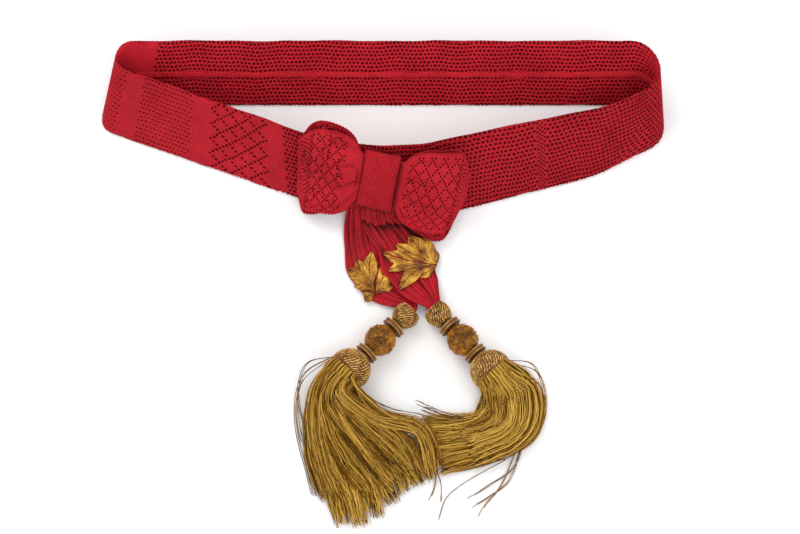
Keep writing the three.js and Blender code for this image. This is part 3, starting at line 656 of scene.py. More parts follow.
def lay_on_band(flat):
    """Flat points in metres: along the loop, round the section from the lower edge, and out."""
    up = (flat[:, 1] / girth + OVERLAP) / (1 + 2 * OVERLAP)
    return band_form.lay(np.column_stack([flat[:, 0] / loop_length, up, flat[:, 2]]))


probe = lay_on_band(np.array([[0.3, 0.25 * girth, 0], [0.3, 0.25 * girth, 0.01]]))
print("outward is", (probe[1] - probe[0]).round(4), "at", probe[0].round(3))


# %% [markdown]
# The lining is painted nearly black, a painted shade, and is what shows through the holes: a plain tube on
# the section's own line.

# %% Lining of the band
def tube_mesh(name, lay, columns, rows, size):
    """A closed tube mesh from a laying function of flat points."""
    cells = [(i, j) for i in range(columns) for j in range(rows)]
    flat = np.array([(i / columns * size[0], j / rows * size[1], 0) for i, j in cells])
    faces = []
    for i, j in cells:
        a, b = i * rows + j, (i + 1) % columns * rows + j
        c, d = (i + 1) % columns * rows + (j + 1) % rows, i * rows + (j + 1) % rows
        faces.append((a, b, c, d))
    mesh = mesh_of(name, lay(flat), faces)
    cloth_map(mesh, flat[:, :2])
    return mesh


LINING_GRID = 240, 36
lining_mesh = tube_mesh("band_lining", lay_on_band, *LINING_GRID, (loop_length, girth))
dress(add_object("band_lining", lining_mesh, shade), "knit", "waist_band")


# %% [markdown]
# The chart of the band. Nearly all of it is net. At the front left, panels change along the band: rows of
# long eyelets, plain strips, and a panel of eyelets in diamonds. A narrow rib of closer eyelets runs up its
# right. The inside is plain at its left end and along its middle, where the tube is sewn.

# %% Chart of the band
CELL_WIDE, CELL_HIGH = 3.3 * mm, 3.7 * mm
columns = round(loop_length / CELL_WIDE)
rows = 2 * round(girth / CELL_HIGH / 2)
wide, high = loop_length / columns, girth / rows
# Panels of the front's outside, from left to right: where each ends, in millimetres along X, and what it is
PANELS = [(-204, "eyelets"), (-192, "plain"), (-148, "eyelets")]
PANELS += [(-136, "plain"), (-88, "diamonds"), (-75, "plain")]
RIB_AT, RIB_WIDE, INSIDE_NET_FROM = 125 * mm, 7.0 * mm, -181 * mm
# Cells of the fine panels, across and up, and how many of them a diamond takes
FINE = {"diamonds": (2.55 * mm, 2.35 * mm), "eyelets": (3.4 * mm, 1.3 * mm)}
FINE |= {"rib": (1.75 * mm, 1.85 * mm), "plain": (3 * mm, 2 * mm)}
DIAMOND = 6
DASH_PITCH, DASH_LONG = 3.1 * mm, 2.1 * mm
# How the rows drift up and down: how far, how many waves in the loop, and where they start
ROW_DRIFTS = [(0.7 * mm, 11, 0), (0.4 * mm, 29, 1)]


def column_place(x):
    """World place of the middle of the outside at a distance along the loop."""
    return lay_on_band(np.array([[x, girth / 4, 0.0]]))[0]


def panel_of(x, y):
    share, place, onward = y / girth, column_place(x), column_place(x + mm)
    if share > 0.5:
        seam = abs(share - 0.75) < 0.5 * high / girth or place[0] < INSIDE_NET_FROM
        return "seam" if seam else "net"
    if onward[0] - place[0] < 0.2 * mm:
        return "net"
    if abs(place[0] - RIB_AT) < RIB_WIDE / 2:
        return "rib"
    return next((kind for end, kind in PANELS if place[0] < end * mm), "net")


def dashed_row(x0, x1, y, rise, aside):
    """One row of long eyelets with narrow plain cells between them, and plain cells to fill its ends."""
    made, x = [], x0
    if aside:
        made.append((x0 + DASH_PITCH / 4, y, PLAIN, DASH_PITCH / 2, rise))
        x += DASH_PITCH / 2
    while x + DASH_PITCH < x1:
        made.append((x + DASH_LONG / 2, y, EYELET, DASH_LONG, rise))
        made.append((x + (DASH_LONG + DASH_PITCH) / 2, y, PLAIN, DASH_PITCH - DASH_LONG, rise))
        x += DASH_PITCH
    made.append(((x + x1) / 2, y, PLAIN, x1 - x, rise))
    return made


def fine_cells(x0, x1, kind):
    """The square cells of one panel, across the whole outside of the band."""
    step, rise = FINE[kind]
    across, up = max(1, round((x1 - x0) / step)), round(girth / 2 / rise)
    step, rise = (x1 - x0) / across, girth / 2 / up
    made = []
    for j in range(up):
        if kind == "eyelets" and j % 3 == 1:
            made += dashed_row(x0, x1, (j + 0.5) * rise, rise, j % 6 == 1)
            continue
        for i in range(across):
            diamond = (i + j) % DIAMOND == 0 or (i - j) % DIAMOND == 0
            open_here = (kind == "diamonds" and diamond) or (kind == "rib" and (i + j) % 2 == 0)
            cell_kind = EYELET if open_here else PLAIN
            made.append((x0 + (i + 0.5) * step, (j + 0.5) * rise, cell_kind, step, rise))
    return made


outside, inside = [], []
panels = [panel_of((i + 0.5) * wide, girth / 4) for i in range(columns)]
for i in range(columns):
    for j in range(rows):
        x, y = (i + 0.5 + j % 2 / 2) * wide, (j + 0.5) * high
        if y > girth / 2:
            inside.append((x, y, PLAIN if panel_of(x, y) == "seam" else NET, wide, high))
        elif panels[i] == "net":
            starts, ends = panels[i - 1] != "net", panels[(i + 1) % columns] != "net"
            if j % 2 and starts:
                outside.append(((i + 0.25) * wide, y, PLAIN, wide / 2, high))
            if j % 2 and ends:
                outside.append(((i + 0.75) * wide, y, PLAIN, wide / 2, high))
            else:
                outside.append((x, y, NET, wide, high))
start = 0
for i in range(1, columns + 1):
    if i == columns or panels[i] != panels[start]:
        if panels[start] != "net":
            outside += fine_cells(start * wide, i * wide, panels[start])
        start = i
print("band:", columns, "columns,", rows, "rows,", len(outside), "cells outside,", len(inside), "inside")

for name, chart, material in (("band_outside", outside, knit), ("band_inside", inside, inside_brightened)):
    cloth = knit_chart(name, chart, material, waver=0.56 * mm, waver_scale=190.0)
    flat = coordinates(cloth.data)
    cloth_map(cloth.data, flat[:, :2])
    turns = flat[:, 0] / loop_length * math.tau
    flat[:, 1] += sum(reach * np.sin(count * turns + begin) for reach, count, begin in ROW_DRIFTS)
    move(cloth.data, lay_on_band(flat))
    dress(cloth, "knit", "waist_band")


# %% [markdown]
# The middle seam of the inside: two edges of the knitted tube laid over each other and sewn. It is a narrow
# closed strip that follows the band, its two long edges a little uneven.

# %% Inner seam
SEAM_WIDTH, SEAM_WALL, SEAM_ROUND = 5 * mm, 0.8 * mm, 10 * mm


def lay_seam(flat):
    """Round the seam's own small section, from flat points along it and round it."""
    angle = flat[:, 1] / SEAM_ROUND * math.tau
    wander = 0.35 * mm * np.sin(flat[:, 0] * 310) + 0.25 * mm * np.sin(flat[:, 0] * 870)
    up = girth * 0.75 + SEAM_WIDTH / 2 * np.sign(np.cos(angle)) * np.abs(np.cos(angle)) ** 0.6 + wander
    out = NET_HEIGHT + 0.25 * mm + SEAM_WALL / 2 * (1 + np.sin(angle))
    return lay_on_band(np.column_stack([flat[:, 0], up, out]))


seam_mesh = tube_mesh("inner_seam_strip", lay_seam, 600, 10, (loop_length, SEAM_ROUND))
dress(add_object("inner_seam_strip", seam_mesh, inside_brightened), "knit", "inner_seam")


# %% [markdown]
# What lies on the front of the band follows it: cloth comes up from the floor, bends round the band's foot
# and goes on up the leaning band. The same three stretches place the bow, the knot, the tails and the leaves.

# %% Lying on the front
FOOT_BEND = 30 * mm
bend = math.pi / 2 - BAND_LEAN
bend_half, bend_tangent = FOOT_BEND * bend / 2, FOOT_BEND * math.tan(bend / 2)
front = foot_outline[foot_outline[:, 1] < LOOP_DEPTH / 2]
front = front[np.argsort(front[:, 0])]
lowest_foot = float(foot_outline[:, 1].min())


def foot_at(x):
    return float(np.interp(x, front[:, 0], front[:, 1]))


def on_front(x, v, n, foot):
    """Place at x, v along the cloth from the middle of the bend, and n above what it lies on."""
    if v > bend_half:
        up = bend_tangent + v - bend_half
        y = up * math.sin(BAND_LEAN) - n * math.cos(BAND_LEAN)
        z = up * math.cos(BAND_LEAN) + n * math.sin(BAND_LEAN)
    elif v < -bend_half:
        y, z = -bend_tangent + v + bend_half, n
    else:
        angle = bend / 2 + v / bend_half * bend / 2
        y = -bend_tangent + (FOOT_BEND - n) * math.sin(angle)
        z = FOOT_BEND - (FOOT_BEND - n) * math.cos(angle)
    return (x + ORIGIN[0], foot + y + ORIGIN[1], z)


KNOT_ASIDE, KNOT_UP, BOW_ROLL = -0.0075, 0.65, math.radians(-9.5)
knot_x, knot_v = KNOT_ASIDE * LOOP_WIDTH, KNOT_UP * BAND_WIDTH - bend_tangent + bend_half


def turned(u, v):
    """Places on the bow, which is turned a little in its own plane, as places across and up the cloth."""
    across = u * math.cos(BOW_ROLL) - v * math.sin(BOW_ROLL)
    return across, u * math.sin(BOW_ROLL) + v * math.cos(BOW_ROLL)


def on_bow(u, v, n):
    """Place at u along the bow from the middle of the knot, v up it, and n above the band."""
    across, up = turned(u, v)
    return on_front(knot_x + across, knot_v + up, n, foot_at(knot_x + across))


TAIL_WALL, PLEAT_DEPTH, BOW_WALL, KNOT_WALL = 1.6 * mm, 1.4 * mm, 1.4 * mm, 1.5 * mm
CLEARANCE, PLY_GAP, PLIES_UNDER_KNOT = 0.35 * mm, 0.8 * mm, 2.75
tail_ply = TAIL_WALL + PLEAT_DEPTH
knot_under = PLIES_UNDER_KNOT * tail_ply
pinch = 2 * BOW_WALL + PLY_GAP
bow_level = knot_under + KNOT_WALL + CLEARANCE + pinch / 2
knot_over = bow_level + pinch / 2 + CLEARANCE + KNOT_WALL
print("the bow lies", round(bow_level * 1000, 1), "mm above the band")


def read_table(rows, share):
    """Reads a table of rows at a share of its first column, smoothly between rows."""
    last, i = len(rows) - 1, 0
    while i < last - 1 and share > rows[i + 1][0]:
        i += 1
    t = min(max((share - rows[i][0]) / (rows[i + 1][0] - rows[i][0]), 0), 1)
    before, after = rows[max(i - 1, 0)], rows[min(i + 2, last)]
    out = []
    for k, a in enumerate(rows[i]):
        b = rows[i + 1][k]
        enter, leave = (b - before[k]) / 2, (after[k] - a) / 2
        value = a * (2 * t**3 - 3 * t**2 + 1) + enter * (t**3 - 2 * t**2 + t)
        out.append(value + b * (3 * t**2 - 2 * t**3) + leave * (t**3 - t**2))
    return out


# %% [markdown]
# A cloth ply is a form with a wall: its grid twice, once on each side, joined round the edges. The helper
# makes that closed mesh, with rounded edges, so that every ply has a thickness and outward faces.

# %% A ply with a wall
def two_sided(columns, rows):
    """Faces of a grid of points and of its copy under it, joined round the edges."""
    faces, under = [], columns * rows
    for i in range(columns - 1):
        for j in range(rows - 1):
            a, b = i * rows + j, (i + 1) * rows + j
            faces += [(a, b, b + 1, a + 1), (under + a + 1, under + b + 1, under + b, under + a)]
    border = [i * rows for i in range(columns)] + [(columns - 1) * rows + j for j in range(1, rows)]
    border += [i * rows + rows - 1 for i in range(columns - 2, -1, -1)] + list(range(rows - 2, 0, -1))
    return faces + [(b, a, under + a, under + b) for a, b in zip(border, border[1:] + border[:1])]


def ply(name, form, wall, material, size):
    """A closed mesh of a form's grid and its copy under it. The wall thins to the edges."""
    columns, rows = form.points.shape[0], form.points.shape[1]
    u, v = np.meshgrid(np.linspace(0, 1, columns), np.linspace(0, 1, rows), indexing="ij")
    edge = np.minimum(np.minimum(u, 1 - u) * (columns - 1), np.minimum(v, 1 - v) * (rows - 1))
    full = np.sqrt(np.clip(edge / 2, 0, 1)) * 0.7 + 0.3
    half_wall = (form.normals * (wall / 2 * full)[:, :, None]).reshape(-1, 3)
    middle = form.points.reshape(-1, 3)
    mesh = mesh_of(name, np.vstack([middle + half_wall, middle - half_wall]), two_sided(columns, rows))
    flat = np.column_stack([u.ravel() * size[0], v.ravel() * size[1]])
    cloth_map(mesh, np.vstack([flat, flat]))
    return add_object(name, mesh, material)


# %% [markdown]
# Each side of the bow is a strip folded back on itself, pinched flat under the knot and open along its top
# and bottom. A row of its table is read at a share of the loop's reach: where its top and bottom edges run,
# in bow halves, and how far its front and rear ply stand off. A thin lining, painted nearly black as a
# painted shade, carries knit on both sides, and both long edges have a scalloped selvedge.

# %% Bow loops
BOW_HALF, BOW_SWELL, BOW_REACH = 43.5 * mm, 9 * mm, {"left": 63 * mm, "right": 71 * mm}
nip = pinch / 2 / BOW_SWELL
LOOPS = {
    "left": [
        (0, 0.45, -0.45, nip, -nip),
        (0.25, 0.49, -0.47, nip, -nip),
        (0.36, 0.72, -0.76, 0.4, -0.45),
        (0.48, 0.8, -0.98, 0.6, -0.75),
        (0.66, 0.8, -1.16, 0.62, -0.95),
        (0.8, 0.72, -1.28, 0.5, -1.1),
        (0.9, 0.55, -1.29, 0.15, -1.12),
        (1, 0.2, -1.02, -0.55, -1.0),
    ],
    "right": [
        (0, 0.45, -0.45, nip, -nip),
        (0.23, 0.48, -0.48, nip, -nip),
        (0.32, 0.66, -0.78, 0.4, -0.45),
        (0.46, 0.76, -1.0, 0.6, -0.65),
        (0.62, 0.76, -1.14, 0.62, -0.75),
        (0.76, 0.74, -1.19, 0.5, -1.05),
        (0.88, 0.64, -1.06, 0.15, -1.15),
        (1, 0.16, -0.38, -0.55, -1.0),
    ],
}
# How much of the strip is its front ply, and at which share of the reach it turns back
FRONT_SHARE, TURN_AT = 0.47, 0.985
CREASE_HIGH, DRAWN_IN = 2.4 * mm, 0.09
# How much lower the rear ply's top edge lies, and how much higher the front ply's bottom edge, in bow halves
EDGE_SHIFTS = {"left": (0.0, 0.1), "right": (0.09, 0.05)}
# Cell of the bow's net: its size across and up, and how many cells a diamond takes
BOW_NET = {"left": (1.6 * mm, 1.65 * mm, 6), "right": (1.8 * mm, 1.7 * mm, 6)}


def loop_creases(share, row):
    """The folds that fan out from the knot: their height from -1 to 1, and how strong they are there."""
    wave = 0.65 * math.cos(math.tau * 3.5 * row + 3 * share) + 0.35 * math.cos(math.tau * 8 * row + 2)
    wave -= 0.9 * math.exp(-(((row - 0.84 + 0.25 * (share - 0.4) ** 2) / 0.03) ** 2))
    return wave, smoothstep(share, 0.22, 0.34) * max(1 - share * 1.25, 0)


def loop_point(side, share, row, over):
    """Place on a bow loop at shares of its reach and height. over is 1 on the front ply and 0 on the rear."""
    sign = -1 if side == "left" else 1
    _, top, bottom, high_ply, low_ply = read_table(LOOPS[side], share)
    lowered, raised = EDGE_SHIFTS[side]
    top, bottom = top - (1 - over) * lowered, bottom + over * raised * smoothstep(share, 0.5, 0.8)
    v = lerp(bottom, top, row) * BOW_HALF
    wave, crease = loop_creases(share, row)
    front_ply = high_ply * BOW_SWELL - PLY_GAP + CREASE_HIGH * crease * wave
    n = bow_level + lerp(low_ply * BOW_SWELL + PLY_GAP, front_ply, over)
    reach = BOW_REACH[side] * (1 - (DRAWN_IN * (1 - row) if side == "left" else 0))
    return on_bow(sign * lerp(CLEARANCE, reach, share), v, n)


def loop_way(u):
    """From a share along the folded strip: the share of the reach, and how far it is the front ply."""
    if u < FRONT_SHARE:
        return u / FRONT_SHARE * TURN_AT, 1
    if u > 1 - FRONT_SHARE:
        return (1 - u) / FRONT_SHARE * TURN_AT, 0
    turn = (u - FRONT_SHARE) / (1 - 2 * FRONT_SHARE)
    return lerp(TURN_AT, 1, math.sin(math.pi * turn)), 0.5 + 0.5 * math.cos(math.pi * turn)


def bow_chart(side, size):
    """Cells of a bow loop: plain near the knot, then eyelets in diamonds, and close net at its end.

    The left loop has dropped stitches among its diamonds, chosen by a hash of their place.
    """
    step, up, period = BOW_NET[side]
    columns, rows = round(size[0] / step), round(size[1] / up)
    made = []
    for i in range(columns):
        for j in range(rows):
            share, _ = loop_way((i + 0.5) / columns)
            starts = (0.46 if side == "left" else 0.3) + 0.02 * math.sin(j * 0.9)
            dropped = side == "left" and math.sin(12.9898 * i + 78.233 * j) * 43758.5453 % 1 > 0.91
            diamond = share > starts and ((i + j) % period == 0 or (i - j) % period == 0 or dropped)
            close = share > 0.86 or (side == "left" and 0.24 < share < 0.3 and 0.3 < j / rows < 0.6)
            kind = EYELET if (diamond or close and (i + j) % 2 == 0) and 0 < j < rows - 1 else PLAIN
            wide, high = size[0] / columns, size[1] / rows
            made.append(((i + 0.5) * wide, (j + 0.5) * high, kind, wide, high))
    return made


def edging(name, form, radius=0.55 * mm, pitch=2.6 * mm):
    """A scalloped selvedge: a thin cord along both long edges of a form, with a small lobe at each stitch."""
    points, flat, faces, sides = [], [], [], 6
    for row in (0, -1):
        line, normals = form.points[:, row], form.normals[:, row]
        travel = np.concatenate([[0], np.cumsum(np.linalg.norm(np.diff(line, axis=0), axis=1))])
        steps = np.arange(0, travel[-1], pitch / 5)
        inner = form.points[:, 1 if row == 0 else -2]
        beyond = (line - inner) / np.maximum(np.linalg.norm(line - inner, axis=1, keepdims=True), 1e-9)
        grids = [[np.interp(steps, travel, grid[:, k]) for k in range(3)] for grid in (line, normals, beyond)]
        first = len(points)
        for at, middle, normal, out in zip(steps, *(np.column_stack(grid) for grid in grids)):
            lobe = abs(math.sin(math.pi * at / pitch)) ** 0.7
            for k in range(sides):
                angle = math.tau * k / sides
                reach = radius * math.cos(angle) * (0.7 + 0.5 * lobe) + radius * lobe
                points.append(middle + out * reach + normal * radius * 1.3 * math.sin(angle))
                flat.append((at, k / sides * math.tau * radius))
        for i in range(len(steps) - 1):
            for k in range(sides):
                a, b = first + i * sides + k, first + i * sides + (k + 1) % sides
                faces.append((a, b, b + sides, a + sides))
        faces += [tuple(first + k for k in range(sides)), tuple(len(points) - 1 - k for k in range(sides))]
    mesh = mesh_of(name, points, faces)
    cloth_map(mesh, np.array(flat))
    return add_object(name, mesh, bow_knit)


def loop_painted_shade(share, row):
    """Painted shade on a loop: in its creases, a dark line at the foot of its swell next to the knot, and
    along its last fold.
    """
    wave, strong = loop_creases(share, row)
    # Painted shade in the creases, as a dark line next to the knot and along the last fold.
    crease = max(-wave - 0.35, 0) ** 1.5 * strong * 1.6
    foot = math.exp(-(((share - 0.2) / 0.03) ** 2))
    return crease + foot + 0.4 * math.exp(-(((share - 0.86) / 0.015) ** 2))


for side, turn in (("left", -1), ("right", 1)):
    form = Form(lambda u, v: loop_point(side, loop_way(u)[0], v, loop_way(u)[1]), 90, 48, turn=turn)
    size = form.lengths()
    dress(edging(f"bow_{side}_edging", form), "knit", f"bow_loop_{side}")
    core = ply(f"bow_{side}_lining", form, 0.5 * mm, shade, size)
    cuts[core.name] = size
    dress(core, "knit", f"bow_loop_{side}")
    for part, height in (("outer", 1), ("inner", -1)):
        chart = bow_chart(side, size)
        cloth = knit_chart(f"bow_{side}_{part}", chart, bow_knit, height=0.55 * mm, waver=0.45 * mm)
        flat = coordinates(cloth.data)
        cloth_map(cloth.data, flat[:, :2])
        shares = flat / np.array((size[0], size[1], 1))
        # The painted shade of the loop's folds, at each vertex of the knit.
        painted_shades = [loop_painted_shade(loop_way(min(max(u, 0), 1))[0], v) for u, v in shares[:, :2]]
        mark_painted_shade(cloth.data, np.array(painted_shades))
        shares[:, 2] = height * (flat[:, 2] + 0.15 * mm)
        move(cloth.data, form.lay(shares))
        if height != turn:
            cloth.data.flip_normals()
        dress(cloth, "knit", f"bow_loop_{side}")


# %% [markdown]
# The knot is a strip of the same silk wound once round the middle of the bow, gathered so that its front is
# a row of fine upright ribs. It is one closed skin: across it the ribs are a rounded wave, and round it the
# section runs down the front and back up behind.

# %% Knot
KNOT_WIDTH, KNOT_HEIGHT, KNOT_RIBS = 28 * mm, 51 * mm, 17
# The upper half of the knot's section: a share of the way round it, how high, and how far to the front
KNOT_SECTION = [(0.0, 0, 1), (0.09, 0.45, 1), (0.17, 0.86, 0.99), (0.21, 0.97, 0.86)]
KNOT_SECTION += [(0.25, 1, 0.5), (0.29, 0.97, 0.14), (0.33, 0.86, 0.01), (0.5, 0, 0)]
KNOT_SECTION += [(1 - share, -up, level) for share, up, level in KNOT_SECTION[-2::-1]]
# Points across the front of the knot, across its back, and round it, and the length of that way round
KNOT_FRONT, KNOT_BACK, KNOT_ROWS, KNOT_ROUND = 112, 20, 100, 110 * mm


def knot_rib(across):
    return abs(math.sin(math.pi * KNOT_RIBS * across)) ** 0.7


def knot_place(across, round_share, deep):
    """Place on the knot: a share across it, a share round it, and how deep under its skin."""
    _, up, level = read_table(KNOT_SECTION, round_share % 1)
    u = across - 0.5
    wander = 0.014 * math.sin(6 * up + 9 * across) + 0.008 * math.sin(17 * up + 31 * across)
    rib = knot_rib(across + wander)
    front_side = 1 if level > 0.5 else 0
    crown = 1.2 * mm * (1 - up * up) * (1 - (2 * u) ** 2) * front_side
    waist = 1 - 0.05 * (1 - up * up)
    deep = deep + 1.0 * mm * (1 - rib)
    n = lerp(knot_under + deep, knot_over - deep, level) + crown
    return on_bow(u * KNOT_WIDTH * waist, up * (KNOT_HEIGHT / 2 - deep), n)


def knot_mesh():
    points, faces, rows = [], [], KNOT_ROWS
    shells = [(i / KNOT_FRONT, 0.0) for i in range(KNOT_FRONT + 1)]
    shells += [(1 - i / KNOT_BACK, KNOT_WALL * 0.6) for i in range(KNOT_BACK + 1)]
    for across, deep in shells:
        points += [knot_place(across, j / rows, deep) for j in range(rows)]
    count = len(shells)
    for i in range(count):
        for j in range(rows):
            k, m = (i + 1) % count, (j + 1) % rows
            faces.append((i * rows + j, k * rows + j, k * rows + m, i * rows + m))
    mesh = mesh_of("knot_ribbed", points, faces)
    across = np.repeat([a for a, _ in shells], rows) * KNOT_WIDTH
    cloth_map(mesh, np.column_stack([across, np.tile(np.arange(rows) / rows * KNOT_ROUND, count)]))
    # Painted shade on the knot: in the valleys between its ribs, and strongly at its two sides.
    dark = [0.35 * (1 - knot_rib(a)) ** 1.5 + 0.7 * (2 * abs(a - 0.5)) ** 16 for a, _ in shells]
    mark_painted_shade(mesh, np.repeat(dark, rows))
    return mesh


def outward(mesh):
    """Turns the faces out if the closed mesh encloses a negative volume."""
    mesh.calc_loop_triangles()
    places = coordinates(mesh)
    corners = np.empty(len(mesh.loop_triangles) * 3, dtype=int)
    mesh.loop_triangles.foreach_get("vertices", corners)
    a, b, c = places[corners.reshape(-1, 3)].transpose(1, 0, 2)
    if np.einsum("ij,ij->i", a, np.cross(b, c)).sum() < 0:
        mesh.flip_normals()
    return mesh


dress(add_object("knot_ribbed", outward(knot_mesh()), bow_knit), "knit", "bow_knot")


# %% [markdown]
# Two tails come out from under the knot. Each is a strip of the same silk gathered lengthways into deep soft
# pleats, which open over the embroidered leaf and close again where the tail goes into its tassel's cup. The
# tables are those of the source: the line of the tail, its level over the band or floor, and its width.

# %% Lines of the tails
TAIL_LENGTH, TAIL_WIDTH = 100 * mm, 34 * mm
TAILS = {
    "left": [
        (0, -0.07, 0.26, 0.12, 0, 0.4, 0.9),
        (0.14, -0.15, 0.13, 0.12, 0, 0.5, 1),
        (0.28, -0.16, 0, 0.12, 0, 0.56, 1),
        (0.42, -0.147, -0.165, 0.12, 0, 0.74, 0.9),
        (0.56, -0.115, -0.31, 0.12, 0, 0.88, 0.7),
        (0.68, -0.067, -0.43, 0.12, 0, 0.9, 0.7),
        (0.79, 0.01, -0.54, 0.12, 0, 0.8, 1.0),
        (0.88, 0.13, -0.61, 0.15, 0, 0.6, 1.5),
        (0.95, 0.255, -0.69, 0.7, 0, 0.3, 1.4),
        (1, 0.245, -0.765, 2.6, 0, 0.24, 1.3),
    ],
    "right": [
        (0, 0.05, 0.26, 0.85, -1.1, 0.7, 0.9),
        (0.14, 0.03, 0.13, 0.85, -1.1, 0.9, 1),
        (0.28, 0.034, 0, 0.85, -1.1, 0.98, 1),
        (0.42, 0.135, -0.15, 0.9, -1.1, 1.08, 0.9),
        (0.55, 0.2, -0.28, 0.95, -1.1, 1.2, 0.7),
        (0.66, 0.245, -0.38, 1.0, -1.2, 1.24, 0.7),
        (0.77, 0.287, -0.49, 1.25, -1.3, 1.08, 0.8),
        (0.86, 0.35, -0.585, 1.6, -1.2, 0.8, 1.3),
        (0.95, 0.42, -0.68, 1.9, -0.3, 0.4, 1.5),
        (1, 0.4335, -0.75, 2.6, 0, 0.39, 1.3),
    ],
}
HEADINGS = {"left": math.radians(-134.5), "right": math.radians(-48.8)}


def tail_at(side, share):
    _, across, up, level, slope, width, pleats = read_table(TAILS[side], share)
    return across * TAIL_LENGTH, up * TAIL_LENGTH, level, slope, width * TAIL_WIDTH, pleats


def tail_line(side, share):
    """The direction that a tail runs in, which turns into its tassel's at the end."""
    ahead, behind = tail_at(side, min(share + 0.01, 1)), tail_at(side, max(share - 0.01, 0))
    line = Vector((ahead[0] - behind[0], ahead[1] - behind[1])).normalized()
    tassel = Vector((math.cos(HEADINGS[side]), math.sin(HEADINGS[side])))
    return line.lerp(tassel, smoothstep(share, 0.88, 1)).normalized()


def floor_or_band(across, v, n):
    x = knot_x + across
    return on_front(x, v, n, lerp(lowest_foot, foot_at(x), smoothstep(v, -3 * bend_half, 0)))


def tail_point(side, share, aside, over):
    across, up, level, slope, _, _ = tail_at(side, share)
    along = tail_line(side, share)
    n = (level + slope * aside / TAIL_WIDTH) * tail_ply + over
    return floor_or_band(across - along.y * aside, up + along.x * aside, n)


# %% [markdown]
# The silk of the tails is woven closer and smoother than the band, so it shines along its folds. Its finish
# has hair-fine ribs along the cloth and a lower roughness. Painted shade lies in the bottoms of the pleats,
# and a painted shadow under the ragged fold at the right tail's top and under the bow's lower edge; the
# finish mixes them towards black.

# %% Pleated silk
def silk_recipe(tree):
    place = tree.node("ShaderNodeTexCoord").out("Object")
    flat = tree.node("ShaderNodeUVMap", {"uv_map": "cloth"})
    apart = tree.node("ShaderNodeSeparateXYZ", {}, {"Vector": flat})
    drift = noise(tree, place, 60.0, 2.0)
    rib = ((apart.out("Y") / (0.9 * mm) + drift) * math.tau).maths("SINE") * 0.5 + 0.5
    weft = ((apart.out("X") / (0.7 * mm)) * math.tau).maths("SINE") * 0.5 + 0.5
    dye = noise(tree, place, 45.0, 3.0)
    hollow = tree.node("ShaderNodeAttribute", {"attribute_name": "hollow"}).out("Fac")
    fibre = noise(tree, place, 900.0, 3.0, 0.7)
    value = dye * 0.3 + rib * 0.3 + fibre * 0.4
    colour = ramp(tree, value, (0.32, (0.20, 0.002, 0.006)), (0.68, (0.55, 0.014, 0.026)))
    # Painted shade and shadow: the marked places are mixed towards near black.
    colour = mix(tree, hollow.maths("MINIMUM", 1.0) * 0.95, colour, (0.03, 0.0005, 0.001, 1))
    return {
        "Base Color": colour,
        "Roughness": dye * 0.2 + 0.42,
        "Normal": relief(tree, rib * 0.8 + weft * 0.2, 0.15 * mm, 0.6),
    }


silk = finish("crimson_silk", silk_recipe, specular_ior_level=0.12)

PLEATS = {"left": 7, "right": 9}
OVERHANG_AT = -3.5 * mm


def pleat_fold(side, u, v):
    """Height of the pleats from 0 in a groove to 1 on a crown. Their widths and depths vary."""
    drift = 0.16 * math.sin(7 * u + 2) + 0.1 * math.sin(19 * u) + 0.22 * math.sin(5.3 * v + 4 * u)
    widths = v + 0.035 * math.sin(13 * v + 3 * u) + 0.02 * math.sin(29 * v)
    fold = abs(math.sin(math.pi * (PLEATS[side] * widths + drift * math.sin(math.pi * v))))
    fine = abs(math.sin(math.pi * (PLEATS[side] * 2.7 * widths + 3 * drift + 2 * u)))
    depth = 0.72 + 0.28 * math.sin(9 * v + 6 * u) * math.sin(11 * u + 3 * v)
    return 1 - depth * (1 - (0.75 * fold**0.55 + 0.25 * fine**0.6))


def overhang(side, up, v):
    """The right tail bulges under the knot and ends in a ragged fold: its rise, and the painted shadow just
    under the fold.
    """
    if side == "left":
        return 0, 0
    ragged = 1.6 * math.sin(11 * v + 1) + 1.1 * math.sin(37 * v) + 0.7 * math.sin(83 * v)
    below = (OVERHANG_AT - up) / mm + ragged
    shadow_under_fold = smoothstep(below, -0.5, 0.5) * math.exp(-max(below, 0) / (3 + 1.2 * math.sin(47 * v + 2)))
    return smoothstep(below, -13, -2) * (1 - smoothstep(below, -0.6, 0.8)), shadow_under_fold


def bow_foot_line():
    """The lower edge of the bow, as places across the tails and how high each is."""
    line = []
    for u in np.linspace(-BOW_REACH["left"], BOW_REACH["right"], 80):
        side = "left" if u < 0 else "right"
        low = read_table(LOOPS[side], abs(u) / BOW_REACH[side])[2] * BOW_HALF
        v = -KNOT_HEIGHT / 2 if abs(u) < KNOT_WIDTH / 2 else low
        across, up = turned(u, v)
        line.append((across, knot_v + up))
    return np.array(sorted(line))


bow_foot = bow_foot_line()
print("the bow's lower edge is from", bow_foot[:, 1].min().round(4), "to", bow_foot[:, 1].max().round(4))
TAIL_COLUMNS, TAIL_ROWS = 130, 110

